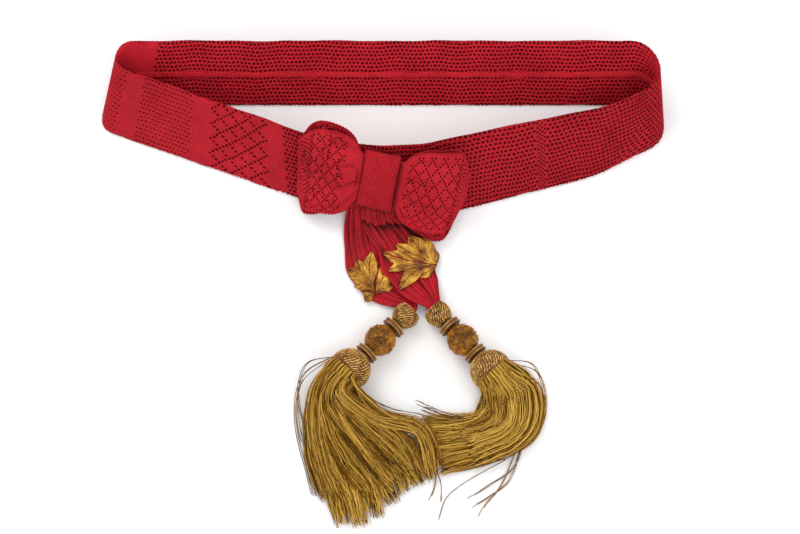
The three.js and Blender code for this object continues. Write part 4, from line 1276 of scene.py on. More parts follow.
for side in ("left", "right"):

    def lay_pleats(u, v):
        """Where a point of the tail lies, with its painted shade and shadow."""
        across, up, _, _, width, pleats = tail_at(side, u)
        along = tail_line(side, u)
        aside = (v - 0.5) * width * (1 + 0.05 * math.sin(23 * u) * abs(2 * v - 1))
        across, up = across - along.y * aside, up + along.x * aside
        fold, (bulge, fold_shadow) = pleat_fold(side, u, v), overhang(side, up, v)
        over = 0.6 * mm + 1.25 * PLEAT_DEPTH * pleats * fold + 1.5 * mm * bulge
        foot = float(np.interp(across, bow_foot[:, 0], bow_foot[:, 1]))
        # Painted shade in the pleats' grooves, stronger on the left tail's upper half, the painted shadow
        # under the ragged fold, and a painted shadow under the bow's lower edge.
        dark = (2.6 if side == "left" and u < 0.5 else 1.9) * (1 - fold) ** 1.25 + 2.2 * fold_shadow
        return tail_point(side, u, aside, over), dark + 1.5 * smoothstep(up, foot - 8 * mm, foot - mm)

    form = Form(lambda u, v: lay_pleats(u, v)[0], TAIL_COLUMNS, TAIL_ROWS)
    tail = ply(f"tail_{side}_silk", form, TAIL_WALL * 0.8, silk, form.lengths())
    shares = [np.linspace(0, 1, count + 1) for count in (TAIL_COLUMNS, TAIL_ROWS)]
    # The painted shade and shadow of each vertex, the same on both sides of the ply.
    dark = [lay_pleats(u, v)[1] for u in shares[0] for v in shares[1]]
    mark_painted_shade(tail.data, np.array(dark + dark))
    outward(tail.data)
    cuts[tail.name] = form.lengths()
    dress(tail, "silk", f"tail_{side}")


# %% [markdown]
# A fringe is some hundreds of fine gilt cords, twisted from two threads, that leave the head as a bundle and
# fall over each other on the floor in locks. Each lock is a guide curve with a width and a height along it.
# The tree copies every guide many times, sets each copy at its own place in the lock's section, lets it
# turn and wander, trims its end, and gives it a three-sided section. What differs between strands is drawn
# from a fixed seed.

# %% Growing the strands
STRAND = 0.31 * mm


def strand_tree():
    numbers = {"Strands": 30, "Radius": STRAND, "Wander": 1.9 * mm, "Wander scale": 26.0}
    numbers |= {"Seed": 7, "Steps": 22, "Shortest": 0.88}
    group, tree, start = geometry_tree("grow_strands", numbers)
    guides = tree.node("GeometryNodeMeshToCurve", {}, {"Mesh": start})
    guides = tree.node("GeometryNodeResampleCurve", {}, {"Curve": guides, "Count": start.out("Steps")})
    copies = {"Geometry": guides, "Amount": start.out("Strands")}
    shape = tree.node("GeometryNodeDuplicateElements", {"domain": "SPLINE"}, copies)
    number = tree.node("GeometryNodeInputIndex")

    def draw(name, low, high, salt):
        nonlocal shape
        sockets = {"Min": low, "Max": high, "ID": number, "Seed": start.out("Seed") * 13 + salt}
        value = tree.node("FunctionNodeRandomValue", {"data_type": "FLOAT"}, sockets)
        shape = store(tree, shape, name, value, "CURVE")
        return attribute(tree, name)

    turn, out = draw("turn", 0.0, math.tau, 1), draw("out", 0.0, 1.0, 2)
    tone, ending = draw("tone", 0.0, 1.0, 3), draw("ending", 0.0, 1.0, 4)
    ending = ending * (1 - start.out("Shortest")) + start.out("Shortest")
    share = tree.node("GeometryNodeSplineParameter")
    far, swung = out.maths("SQRT"), turn + draw("twist", -1.5, 1.5, 5) * share
    aside = swung.maths("COSINE") * far * attribute(tree, "half_width")
    above = swung.maths("SINE") * far * attribute(tree, "half_height")
    side = vector_maths(tree, "SCALE", attribute(tree, "side", "FLOAT_VECTOR"), aside)
    top = vector_maths(tree, "SCALE", attribute(tree, "top", "FLOAT_VECTOR"), above)
    freedom = start.out("Wander") * (share * 0.9 + 0.1) * 2
    drift = wander(tree, tone * 9 + share * 0.4, start.out("Wander scale"), (2, 2, 0.8), freedom)
    offset = vector_maths(tree, "ADD", vector_maths(tree, "ADD", side, top), drift)
    shape = tree.node("GeometryNodeSetPosition", {}, {"Geometry": shape, "Offset": offset})
    shape = tree.node("GeometryNodeTrimCurve", {}, {"Curve": shape, 3: ending})
    shape = tree.node("GeometryNodeResampleCurve", {}, {"Curve": shape, "Count": start.out("Steps")})
    length = tree.node("GeometryNodeSplineParameter").out("Length")
    shape = store(tree, shape, "along", length)
    # The strand's tone: a random part, and a painted shade by its place in the lock, darker low and lighter
    # on top.
    shape = store(tree, shape, "tone", tone * 0.6 + (turn.maths("SINE") * far + 1) * 0.2, "CURVE")
    section = {"Resolution": 3, "Radius": start.out("Radius")}
    profile = tree.node("GeometryNodeCurvePrimitiveCircle", {}, section)
    profile = store(tree, profile, "around", tree.node("GeometryNodeSplineParameter"))
    swept = {"Curve": shape, "Profile Curve": profile, "Fill Caps": True}
    shape = tree.node("GeometryNodeCurveToMesh", {}, swept)
    end_tree(tree, start, shape)
    return group


strand_growth = strand_tree()


def guide_lines(name, guides):
    """A mesh of lines, one for each guide: rows of (point, side, top, half width, half height)."""
    rows = [row for guide in guides for row in guide]
    edges, start = [], 0
    for guide in guides:
        edges += [(start + i, start + i + 1) for i in range(len(guide) - 1)]
        start += len(guide)
    mesh = bpy.data.meshes.new(name)
    mesh.from_pydata([tuple(row[0]) for row in rows], edges, [])
    for label, column in (("side", 1), ("top", 2)):
        values = np.array([tuple(row[column]) for row in rows])
        mesh.attributes.new(label, "FLOAT_VECTOR", "POINT").data.foreach_set("vector", values.ravel())
    for label, column in (("half_width", 3), ("half_height", 4)):
        mesh.attributes.new(label, "FLOAT", "POINT").data.foreach_set("value", [row[column] for row in rows])
    return add_object(name, mesh)


def thin(place):
    """A row of a guide that only one strand follows."""
    return place, (1, 0, 0), (0, 0, 1), 0.0, 0.0


def point_values(mesh, name):
    values = np.empty(len(mesh.vertices))
    mesh.attributes[name].data.foreach_get("value", values)
    return values


def grow_strands(name, guides, material, **inputs):
    piece = grow(name, guide_lines(name + "_guides", guides), strand_growth, material, **inputs)
    mesh = piece.data
    cloth_map(mesh, np.column_stack([point_values(mesh, "around"), point_values(mesh, "along")]))
    kept = {"tone", "cloth", "position", "material_index", "sharp_face", "sharp_edge"}
    for label in [a.name for a in mesh.attributes if a.name not in kept and not a.name.startswith(".")]:
        mesh.attributes.remove(mesh.attributes[label])
    return piece


def lay_on_floor(piece):
    """Lifts what hangs through the floor onto it."""
    places = coordinates(piece.data)
    places[:, 2] = np.maximum(places[:, 2], STRAND)
    move(piece.data, places)


print("strands are", round(STRAND * 2000, 2), "mm thick")


# %% [markdown]
# Gilt thread: two plies twisted, so each strand has a fine slanting line along it. Strands differ in tone,
# from olive brown to bright ochre, and those low in their lock are darker and those on top lighter, a painted
# shade.

# %% Gilt thread
def thread_recipe(tree):
    place = tree.node("ShaderNodeTexCoord").out("Object")
    flat = tree.node("ShaderNodeUVMap", {"uv_map": "cloth"})
    apart = tree.node("ShaderNodeSeparateXYZ", {}, {"Vector": flat})
    twist = ((apart.out("X") * 2 + apart.out("Y") / (1.1 * mm)) * math.tau).maths("SINE") * 0.5 + 0.5
    tone = tree.node("ShaderNodeAttribute", {"attribute_name": "tone"}).out("Fac")
    age = noise(tree, place, 55.0, 3.0)
    value = tone * 0.95 + age * 0.16 + twist * 0.14
    olive, ochre, gold = (0.035, 0.011, 0.001), (0.36, 0.155, 0.008), (0.92, 0.58, 0.11)
    return {
        "Base Color": ramp(tree, value, (0.34, olive), (0.60, ochre), (0.95, gold)),
        "Roughness": age * 0.25 + 0.38,
        "Normal": relief(tree, twist, 0.15 * mm, 0.8),
    }


thread = finish("gilt_thread", thread_recipe, metallic=0.1, specular_ior_level=0.15)


# %% [markdown]
# A maple-like leaf is worked on each tail in satin stitch. Eight pointed lobes spring from one base, each
# padded from below into a low cushion with a groove along it, and a red cord lies along the main one. Lobes
# are listed by their tips, in millimetres across and up from the base, with a width and a bend, so that each
# leaf has its own outline. LEAVES holds the bases, in millimetres from the knot.

# %% Lobes of the leaves
LEAF_WALL = 0.9 * mm
LEAVES = {"left": (-2.5, -61), "right": (45.3, -38)}
VEINS = {"left": (4.5, 25, 6.0, 0.05), "right": (-42, 9, 6.6, 0.04)}
LOBES = {
    "left": [(15, 9, 4.8, 0.10), (-8, -6, 4.2, -0.2), (-16.5, 6, 5.4, -0.3), (-22, 20, 6.6, -0.12)],
    "right": [(-4, 13, 4.2, 0.0), (-17, -9, 3.8, 0.1), (-29, -21, 5.6, -0.14), (-11, 22.5, 6.2, 0.06)],
}
LOBES["left"] += [(12, 18, 5.4, 0.06), (-14.5, 28, 6.4, 0.04), (8.5, 26.5, 5.4, -0.06), (-2.4, 34, 6.0, 0.1)]
LOBES["right"] += [(-38, -6, 5.2, -0.12), (-22, 24, 7.0, 0.04), (-32, 16.5, 6.0, 0.03), (-42, 9, 6.6, 0.04)]
LINE_STEPS = 144
tail_shares = [i / LINE_STEPS for i in range(LINE_STEPS + 1)]
tail_lines = {side: [(*tail_at(side, u)[:4], tail_line(side, u)) for u in tail_shares] for side in TAILS}


def top_of_tail(side, across, up):
    """The level of a tail's upper side over the place in its flat that is nearest to one asked for."""
    near = min(tail_lines[side], key=lambda line: math.hypot(across - line[0], up - line[1]))
    x, y, level, slope, along = near
    aside = (up - y) * along.x - (across - x) * along.y
    return (level + slope * aside / TAIL_WIDTH + 1) * tail_ply


def lobe_place(side, lobe, along, aside, over):
    """Place on a lobe: a share from its base to its tip, metres aside of its middle and over the silk."""
    x, y, _, bend = lobe
    length = math.hypot(x, y) * mm
    curve = bend * length * math.sin(math.pi * along)
    ahead, left = (x * mm / length, y * mm / length), (-y * mm / length, x * mm / length)
    at = [LEAVES[side][k] * mm + ahead[k] * along * length + left[k] * (curve + aside) for k in (0, 1)]
    return floor_or_band(at[0], at[1], top_of_tail(side, at[0], at[1]) + CLEARANCE + over)


def lobe_half(lobe, along):
    """Half the width of a lobe, widest past its middle and pointed at its tip."""
    swell = max(math.sin(math.pi * min(along, 1) ** 1.2), 0) ** 0.95
    return lobe[2] * 1.06 * mm * swell + 0.3 * mm * (1 - along)


def lobe_height(lobe, along, aside, order):
    """The dome of a lobe, grooved along its middle. Later lobes lie over earlier ones."""
    edge = min(abs(aside) / max(lobe_half(lobe, along), 0.2 * mm), 1)
    dome = LEAF_WALL * 1.3 * (1 - edge**2.2) * (0.4 + 0.6 * math.sin(math.pi * along))
    groove = 0.5 * mm * math.exp(-((aside / (0.7 * mm)) ** 2))
    return 0.25 * mm + 0.16 * mm * order + dome - groove


# %% [markdown]
# Gilt embroidery thread is flat metal wound on silk: bright ochre, brown where it has worn. Its tone changes
# from stitch to stitch. The cushions under the stitches are of the same gold, with a painted shade in dark
# red in their grooves and at their edges.

# %% Gilt embroidery
def embroidery(tree):
    place = tree.node("ShaderNodeTexCoord").out("Object")
    tone = tree.node("ShaderNodeAttribute", {"attribute_name": "tone"}).out("Fac")
    hollow = tree.node("ShaderNodeAttribute", {"attribute_name": "hollow"}).out("Fac")
    age = noise(tree, place, 95.0, 3.0, 0.6)
    grain = noise(tree, place, 1500.0)
    value = age * 0.75 + tone * 0.35 + grain * 0.15
    brown, ochre, gold = (0.09, 0.024, 0.005), (0.38, 0.14, 0.014), (0.92, 0.58, 0.09)
    colour = ramp(tree, value, (0.45, brown), (0.60, ochre), (0.82, gold))
    # The marked grooves and edges are mixed towards a dark red: painted shade.
    return {
        "Base Color": mix(tree, hollow * 0.9, colour, (0.13, 0.009, 0.006, 1)),
        "Roughness": age * 0.2 + 0.35,
        "Normal": relief(tree, grain, 0.1 * mm, 0.5),
    }


gold_stitch = finish("gilt_embroidery", embroidery, metallic=0.15, specular_ior_level=0.25)


CUSHION_STEPS, CUSHION_ACROSS = 22, 12


def lobe_cushion(side, lobe, order):
    """Points of a cushion, its domed top and then its flat underside, and the painted shade of each."""
    points, painted_shades = [], []
    for top in (1, 0):
        for i in range(CUSHION_STEPS + 1):
            along = i / CUSHION_STEPS
            half = lobe_half(lobe, along)
            for j in range(CUSHION_ACROSS + 1):
                aside = lerp(-half, half, j / CUSHION_ACROSS)
                over = lobe_height(lobe, along, aside, order) if top else 0.02 * mm
                points.append(lobe_place(side, lobe, along, aside, over))
                # Painted shade: in the groove along the lobe, at its edges, and all over the underside.
                rim = abs(aside) / max(half, 0.2 * mm)
                painted_shades.append(0.8 * math.exp(-((aside / (0.6 * mm)) ** 2)) + rim**5 * 0.6 if top else 1)
    return points, painted_shades


cushion_faces = two_sided(CUSHION_STEPS + 1, CUSHION_ACROSS + 1)
for side in ("left", "right"):
    points, painted_shades, faces = [], [], []
    for order, lobe in enumerate(LOBES[side]):
        more_points, more_painted_shades = lobe_cushion(side, lobe, order)
        faces += [tuple(len(points) + i for i in face) for face in cushion_faces]
        points += more_points
        painted_shades += more_painted_shades
    mesh = outward(mesh_of(f"leaf_{side}_padding", points, faces))
    mark_painted_shade(mesh, np.array(painted_shades))
    padding = add_object(f"leaf_{side}_padding", mesh, gold_stitch)
    dress(padding, "gilt_thread", f"leaf_{side}")


# %% [markdown]
# The stitches lie side by side, slanting forward from the groove to the lobe's edge on both sides, like the
# barbs of a feather. Each is one short guide for the same tree that grows the fringe, with a single copy.

# %% Satin stitches
STITCH, STITCH_APART, SLANT = 0.38 * mm, 0.95 * mm, 0.5


def stitch_guide(side, lobe, order, start, hand):
    guide = []
    for k in range(5):
        t = k / 4
        along = start + SLANT * t * (1.05 - start)
        aside = hand * lerp(0.35 * mm, lobe_half(lobe, along) - 0.1 * mm, t)
        over = lobe_height(lobe, along, aside, order) + 0.15 * mm
        guide.append(thin(lobe_place(side, lobe, along, aside, over)))
    return guide


def grow_single(name, guides, material, **inputs):
    """One strand on each guide, as long as the guide and without wandering."""
    return grow_strands(name, guides, material, strands=1, wander=0.0, shortest=1.0, **inputs)


for side in ("left", "right"):
    guides = []
    for order, lobe in enumerate(LOBES[side]):
        count = int(math.hypot(lobe[0], lobe[1]) * mm * 0.92 / STITCH_APART)
        for i in range(count):
            guides += [stitch_guide(side, lobe, order, 0.04 + 0.88 * i / count, hand) for hand in (-1, 1)]
    stitched = grow_single(f"leaf_{side}_stitches", guides, gold_stitch, radius=STITCH, steps=6, seed=3)
    dress(stitched, "gilt_thread", f"leaf_{side}")
    lobe, vein = VEINS[side], []
    for k in range(12):
        along = 0.02 + 0.93 * k / 11
        over = lobe_height(lobe, along, 0.0, len(LOBES[side]) - 1) + 0.35 * mm
        vein.append(thin(lobe_place(side, lobe, along, 0.0, over)))
    red_cord = grow_single(f"leaf_{side}_vein", [vein], knit, radius=0.6 * mm, steps=24)
    dress(red_cord, "silk", f"leaf_{side}")


# %% [markdown]
# Each tassel hangs on a cord through turned wooden moulds: a cup at the top, a ring, a ball, another ring and
# a large head. The cup and the head are covered in woven gilt wire, the rings are wound with thread, and the
# ball has a worn, furry silk cover. All five are forms of revolution on one axis, which climbs a little from
# the cup to the wider head, because every mould touches the floor.

# %% Axis of the tassels
CUP_RADIUS, CUP_LENGTH, CUP_MOUTH = 9.8 * mm, 16.5 * mm, 4.5 * mm
RING_RADIUS, RING_THICKNESS, BALL_RADIUS = 9.4 * mm, 4.4 * mm, 12.4 * mm
HEAD_RADIUS, HEAD_LENGTH, CORD_RADIUS = 16 * mm, 19.5 * mm, 2 * mm
BORE = CORD_RADIUS + 0.35 * mm
ball_pole = math.asin(BORE / BALL_RADIUS)
ball_half = BALL_RADIUS * math.cos(ball_pole)
ring1_at = CUP_LENGTH + CLEARANCE
ball_at = ring1_at + RING_THICKNESS + CLEARANCE
ring2_at = ball_at + 2 * ball_half + CLEARANCE
head_at = ring2_at + RING_THICKNESS + CLEARANCE
chain_length = head_at + HEAD_LENGTH
climb = math.asin((HEAD_RADIUS - CUP_RADIUS) / (chain_length - CUP_LENGTH / 2))


class Chain:
    """The axis of one tassel: its start at the cup's mouth, its direction, and two directions across it."""

    def __init__(self, side):
        level = Vector((math.cos(HEADINGS[side]), math.sin(HEADINGS[side]), 0))
        self.along = level * math.cos(climb) + Vector((0, 0, math.sin(climb)))
        end = tail_point(side, 1, 0, 0)
        self.start = Vector((end[0], end[1], CUP_RADIUS)) - self.along * (0.2 * CUP_MOUTH)
        self.left = Vector((-self.along.y, self.along.x, 0)).normalized()
        self.above = self.along.cross(self.left)
        if self.above.z < 0:
            self.above = -self.above
        self.base = self.start + self.along * (chain_length + CLEARANCE)

    def at(self, distance, radius, angle):
        out = self.left * math.cos(angle) + self.above * math.sin(angle)
        return self.start + self.along * distance + out * radius


chains = {side: Chain(side) for side in ("left", "right")}
for side, chain in chains.items():
    print(side, "head's mouth at", [round(x, 4) for x in chain.base])


# %% [markdown]
# A mould is spun from its profile: pairs of place on the axis and radius, smooth between them.

# %% Turned moulds
def profile_at(profile, share):
    """A point on a profile at a share of its own length."""
    lengths = [0.0]
    for (a, r), (b, s) in zip(profile, profile[1:]):
        lengths.append(lengths[-1] + math.hypot(b - a, s - r))
    target = share * lengths[-1]
    return [float(np.interp(target, lengths, [p[k] for p in profile])) for k in (0, 1)]


def spun(name, chain, offset, profile, material, rows, sides):
    """A closed turned shape: the profile spun round the axis."""
    points, flat = [], []
    for j in range(rows + 1):
        place, radius = profile_at(profile, j / rows)
        for i in range(sides):
            angle = math.tau * i / sides
            points.append(chain.at(offset + place, max(radius, 0.2 * mm), angle))
            flat.append((i / sides * math.tau * BALL_RADIUS, place))
    faces = [tuple(range(sides - 1, -1, -1)), tuple(rows * sides + i for i in range(sides))]
    for j in range(rows):
        for i in range(sides):
            k = (i + 1) % sides
            faces.append((j * sides + i, j * sides + k, (j + 1) * sides + k, (j + 1) * sides + i))
    mesh = mesh_of(name, points, faces)
    cloth_map(mesh, np.array(flat))
    outward(mesh)
    return add_object(name, mesh, material)


def arc(radius, height, centre, start, end, steps):
    angles = [lerp(start, end, i / steps) for i in range(steps + 1)]
    return [(centre - height * math.cos(a), radius * math.sin(a)) for a in angles]


cup_end, cup_pole = 0.25 * CUP_LENGTH, math.pi - math.asin(BORE / CUP_RADIUS)
cup_profile = [(CUP_MOUTH, BORE), (CUP_MOUTH, 0.72 * CUP_RADIUS)]
cup_profile += [(0.1 * mm, 0.8 * CUP_RADIUS), (0, 0.88 * CUP_RADIUS)]
cup_profile += arc(CUP_RADIUS, CUP_LENGTH - cup_end, cup_end, math.pi / 2, cup_pole, 15)
ring_profile = [(0, BORE), (0, 0.78 * RING_RADIUS)]
for a in np.linspace(0, math.pi, 49):
    radius = RING_RADIUS * (0.78 + 0.11 * math.sin(a) ** 0.5 + 0.11 * math.sin(2 * a) ** 2)
    ring_profile.append((RING_THICKNESS * (0.5 - 0.5 * math.cos(a)), radius))
ring_profile += [(RING_THICKNESS, BORE)]
ball_profile = arc(BALL_RADIUS - 0.5 * mm, BALL_RADIUS, ball_half, ball_pole, math.pi - ball_pole, 28)
head_widest = 0.85 * HEAD_LENGTH
head_profile = arc(HEAD_RADIUS, head_widest, head_widest, ball_pole, math.pi / 2, 20)
head_profile += [(HEAD_LENGTH, 0.94 * HEAD_RADIUS), (HEAD_LENGTH, BORE)]


def gilt(dark, middle, light, bump_scale=900.0):
    def recipe(tree):
        place = tree.node("ShaderNodeTexCoord").out("Object")
        tone = tree.node("ShaderNodeAttribute", {"attribute_name": "tone"}).out("Fac")
        hollow = tree.node("ShaderNodeAttribute", {"attribute_name": "hollow"}).out("Fac")
        tarnish = noise(tree, place, 150.0, 4.0, 0.6)
        grain = noise(tree, place, bump_scale, 2.0)
        value = tarnish * 0.6 + grain * 0.25 + tone * 0.3
        colour = ramp(tree, value, (0.35, dark), (0.55, middle), (0.85, light))
        # Painted shade, where a piece marks it: mixed towards a darker copy of the dark stop.
        colour = mix(tree, hollow * 0.85, colour, (*(0.3 * channel for channel in dark), 1))
        normal = relief(tree, grain, 0.12 * mm, 0.6)
        return {"Base Color": colour, "Roughness": tarnish * 0.3 + 0.25, "Normal": normal}

    return recipe


bright_gilt = gilt((0.14, 0.05, 0.010), (0.46, 0.22, 0.042), (0.98, 0.64, 0.20))
brown_gilt = gilt((0.035, 0.012, 0.003), (0.09, 0.035, 0.008), (0.18, 0.08, 0.02))
pale_gilt = gilt((0.26, 0.11, 0.026), (0.52, 0.28, 0.085), (0.82, 0.58, 0.26))
amber = gilt((0.28, 0.095, 0.009), (0.58, 0.23, 0.016), (0.86, 0.42, 0.05), 1400.0)
wire = finish("gilt_wire", bright_gilt, metallic=0.25)
ground = finish("gilt_ground", brown_gilt, specular_ior_level=0.1)
wound = finish("wound_thread", pale_gilt, specular_ior_level=0.2)
fur = finish("worn_ball", amber, specular_ior_level=0.1)

for side, chain in chains.items():
    parts = [
        ("cup", 0, cup_profile, ground),
        ("ring_upper", ring1_at, ring_profile, wound),
        ("ball", ball_at, ball_profile, fur),
        ("ring_lower", ring2_at, ring_profile, wound),
        ("head", head_at, head_profile, ground),
    ]
    for part, offset, profile, material in parts:
        rows, sides = (64, 72) if part.startswith("ring") else (36, 64)
        piece = spun(f"{part}_{side}", chain, offset, profile, material, rows, sides)
        if part.startswith("ring"):
            # Painted shade on the rings: in the valleys between their ridges and on their flat sides.
            radii = [profile_at(profile, j / rows)[1] / RING_RADIUS for j in range(rows + 1)]
            mark_painted_shade(piece.data, np.repeat([(0.97 - r) / 0.06 for r in radii], sides))
        dress(piece, "gilt_wire", f"tassel_{part}_{side}")
    cord_end = chain_length - 2 * CUP_MOUTH
    cord_profile = [(0, 0.3 * mm), (0, CORD_RADIUS), (cord_end, CORD_RADIUS), (cord_end, 0.3 * mm)]
    piece = spun(f"cord_{side}", chain, CUP_MOUTH + 0.7 * mm, cord_profile, wound, 40, 20)
    dress(piece, "gilt_thread", f"tassel_cord_{side}")


# %% [markdown]
# The cup and the head are covered with basket weave: flat gilt wire goes over and under cords that run from
# pole to pole, so the cover shows rows of short, slightly slanting pads, set like bricks. The tree puts one
# small pad on every point of a chart, turned along its row and out from the mould.

# %% Basket weave
PAD_LONG, PAD_HIGH, PAD_THICK, PAD_SLANT = 2.6 * mm, 1.0 * mm, 0.75 * mm, 0.5


def pad_shape():
    """A small flat pad, one unit long, high and thick, with rounded ends."""
    points, faces, rings, sides = [(-0.5, 0, 0)], [], 4, 5
    angles = [math.tau * k / sides for k in range(sides)]
    for i in range(rings):
        x = -0.42 + 0.84 * i / (rings - 1)
        half = 0.5 * (1 - (2 * x) ** 2) ** 0.4
        points += [(x, half * math.cos(angle), half * math.sin(angle)) for angle in angles]
    points.append((0.5, 0, 0))
    for k in range(sides):
        m = (k + 1) % sides
        faces.append((0, 1 + m, 1 + k))
        for first in range(1, 1 + (rings - 1) * sides, sides):
            faces.append((first + k, first + m, first + sides + m, first + sides + k))
        last = 1 + (rings - 1) * sides
        faces.append((last + k, last + m, len(points) - 1))
    return add_object("weave_pad", outward(mesh_of("weave_pad", points, faces)))


def weaving_tree():
    numbers = {"Length": PAD_LONG, "Height": PAD_HIGH, "Thickness": PAD_THICK, "Seed": 11}
    group, tree, start = geometry_tree("weave_the_cover", numbers, ("Pad",))
    pad = tree.node("GeometryNodeObjectInfo", {}, {"Object": start.out("Pad")}).out("Geometry")
    row, out = attribute(tree, "row", "FLOAT_VECTOR"), attribute(tree, "out", "FLOAT_VECTOR")
    axes, names = {"primary_axis": "X", "secondary_axis": "Z"}, ("Primary Axis", "Secondary Axis")
    turn = tree.node("FunctionNodeAxesToRotation", axes, dict(zip(names, (row, out))))
    sides = {"X": start.out("Length"), "Y": start.out("Height"), "Z": start.out("Thickness")}
    size = tree.node("ShaderNodeCombineXYZ", {}, sides)
    chosen = {"Points": start, "Instance": pad, "Rotation": turn, "Scale": size}
    pads = tree.node("GeometryNodeInstanceOnPoints", {}, chosen)
    draw = {"Min": 0.0, "Max": 1.0, "Seed": start.out("Seed")}
    tone = tree.node("FunctionNodeRandomValue", {"data_type": "FLOAT"}, draw)
    pads = store(tree, pads, "tone", tone, "INSTANCE")
    end_tree(tree, start, pads)
    return group


pad, weaving = pad_shape(), weaving_tree()


def weave_cover(name, chain, offset, profile, first, last):
    """Rows of pads round a mould, between two shares of its profile."""
    length = sum(math.hypot(b[0] - a[0], b[1] - a[1]) for a, b in zip(profile, profile[1:]))
    rows = round((last - first) * length / (PAD_HIGH * 1.4))
    places, along, out = [], [], []
    for j in range(rows):
        share = lerp(first, last, (j + 0.5) / rows)
        place, radius = profile_at(profile, share)
        ahead, wider = profile_at(profile, min(share + 0.01, 1))
        count = max(6, round(math.tau * radius / (PAD_LONG * 0.92)))
        for i in range(count):
            angle = math.tau * (i + j % 2 / 2) / count
            middle = chain.at(offset + place, radius + 0.15 * mm, angle)
            row = chain.at(0, 1, angle + math.pi / 2) - chain.at(0, 0, 0)
            slope = chain.at(offset + ahead, wider, angle) - chain.at(offset + place, radius, angle)
            slope.normalize()
            places.append(middle)
            along.append(tuple(row + slope * PAD_SLANT))
            out.append(tuple(row.cross(slope)))
    mesh = mesh_of(name + "_chart", places, [])
    for label, values in (("row", along), ("out", out)):
        layer = mesh.attributes.new(label, "FLOAT_VECTOR", "POINT")
        layer.data.foreach_set("vector", np.array(values).ravel())
    return grow(name, add_object(name + "_source", mesh), weaving, wire, pad=pad, seed=len(places))


for side, chain in chains.items():
    cover = weave_cover(f"head_{side}_weave", chain, head_at, head_profile, 0.03, 0.66)
    dress(cover, "gilt_wire", f"tassel_head_{side}")
    cover = weave_cover(f"cup_{side}_weave", chain, 0, cup_profile, 0.19, 0.97)
    dress(cover, "gilt_wire", f"tassel_cup_{side}")
bpy.data.objects.remove(pad)


# %% [markdown]
# The balls have lost most of their gold pile. What is left is a mat of short dark curled threads on their
# upper side, and a few that stick out at the edge. They are arcs scattered on the ball with a fixed seed and
# grown by the strand tree.

# %% Curled threads of the balls
CURLS, CURL_RADIUS = 150, 0.22 * mm
scatter = np.random.default_rng(8)


def curl_guide(centre, spread):
    """One curled thread over a ball, starting at a random place within a spread of its top."""
    lean, turn = spread * math.sqrt(scatter.uniform()), scatter.uniform(0, math.tau)
    heading, bend = scatter.uniform(0, math.tau), scatter.uniform(-0.5, 0.5)
    out = Vector((math.sin(lean) * math.cos(turn), math.sin(lean) * math.sin(turn), math.cos(lean)))
    guide = []
    for k in range(7):
        side = out.cross(Vector((math.cos(heading), math.sin(heading), 0.1))).normalized()
        out = (out + side * 0.075).normalized()
        heading += bend
        guide.append(thin(centre + out * (BALL_RADIUS + 0.1 * mm + 0.25 * mm * math.sin(k + turn))))
    return guide


dark_gilt = gilt((0.06, 0.022, 0.005), (0.16, 0.07, 0.016), (0.44, 0.24, 0.07))
curled = finish("dark_curls", dark_gilt, specular_ior_level=0.1)
for side, chain in chains.items():
    centre = chain.at(ball_at + ball_half, 0, 0)
    guides = [curl_guide(centre, 0.8) for _ in range(CURLS)]
    guides += [curl_guide(centre, 1.9) for _ in range(CURLS // 5)]
    curls = grow_single(f"ball_{side}_curls", guides, curled, radius=CURL_RADIUS, steps=9)
    dress(curls, "gilt_wire", f"tassel_ball_{side}")


# %% [markdown]
# The locks. Each leaves the head and runs over two way points to its tip, on a smooth curve. The columns are
# those of the source: start round the head in turns and as a share of its radius, the two way points and the
# tip as shares of the fringe's length from the head's mouth, and three heights in locks. A skirt of thinner
# guides round the head's mouth hides where the locks start.

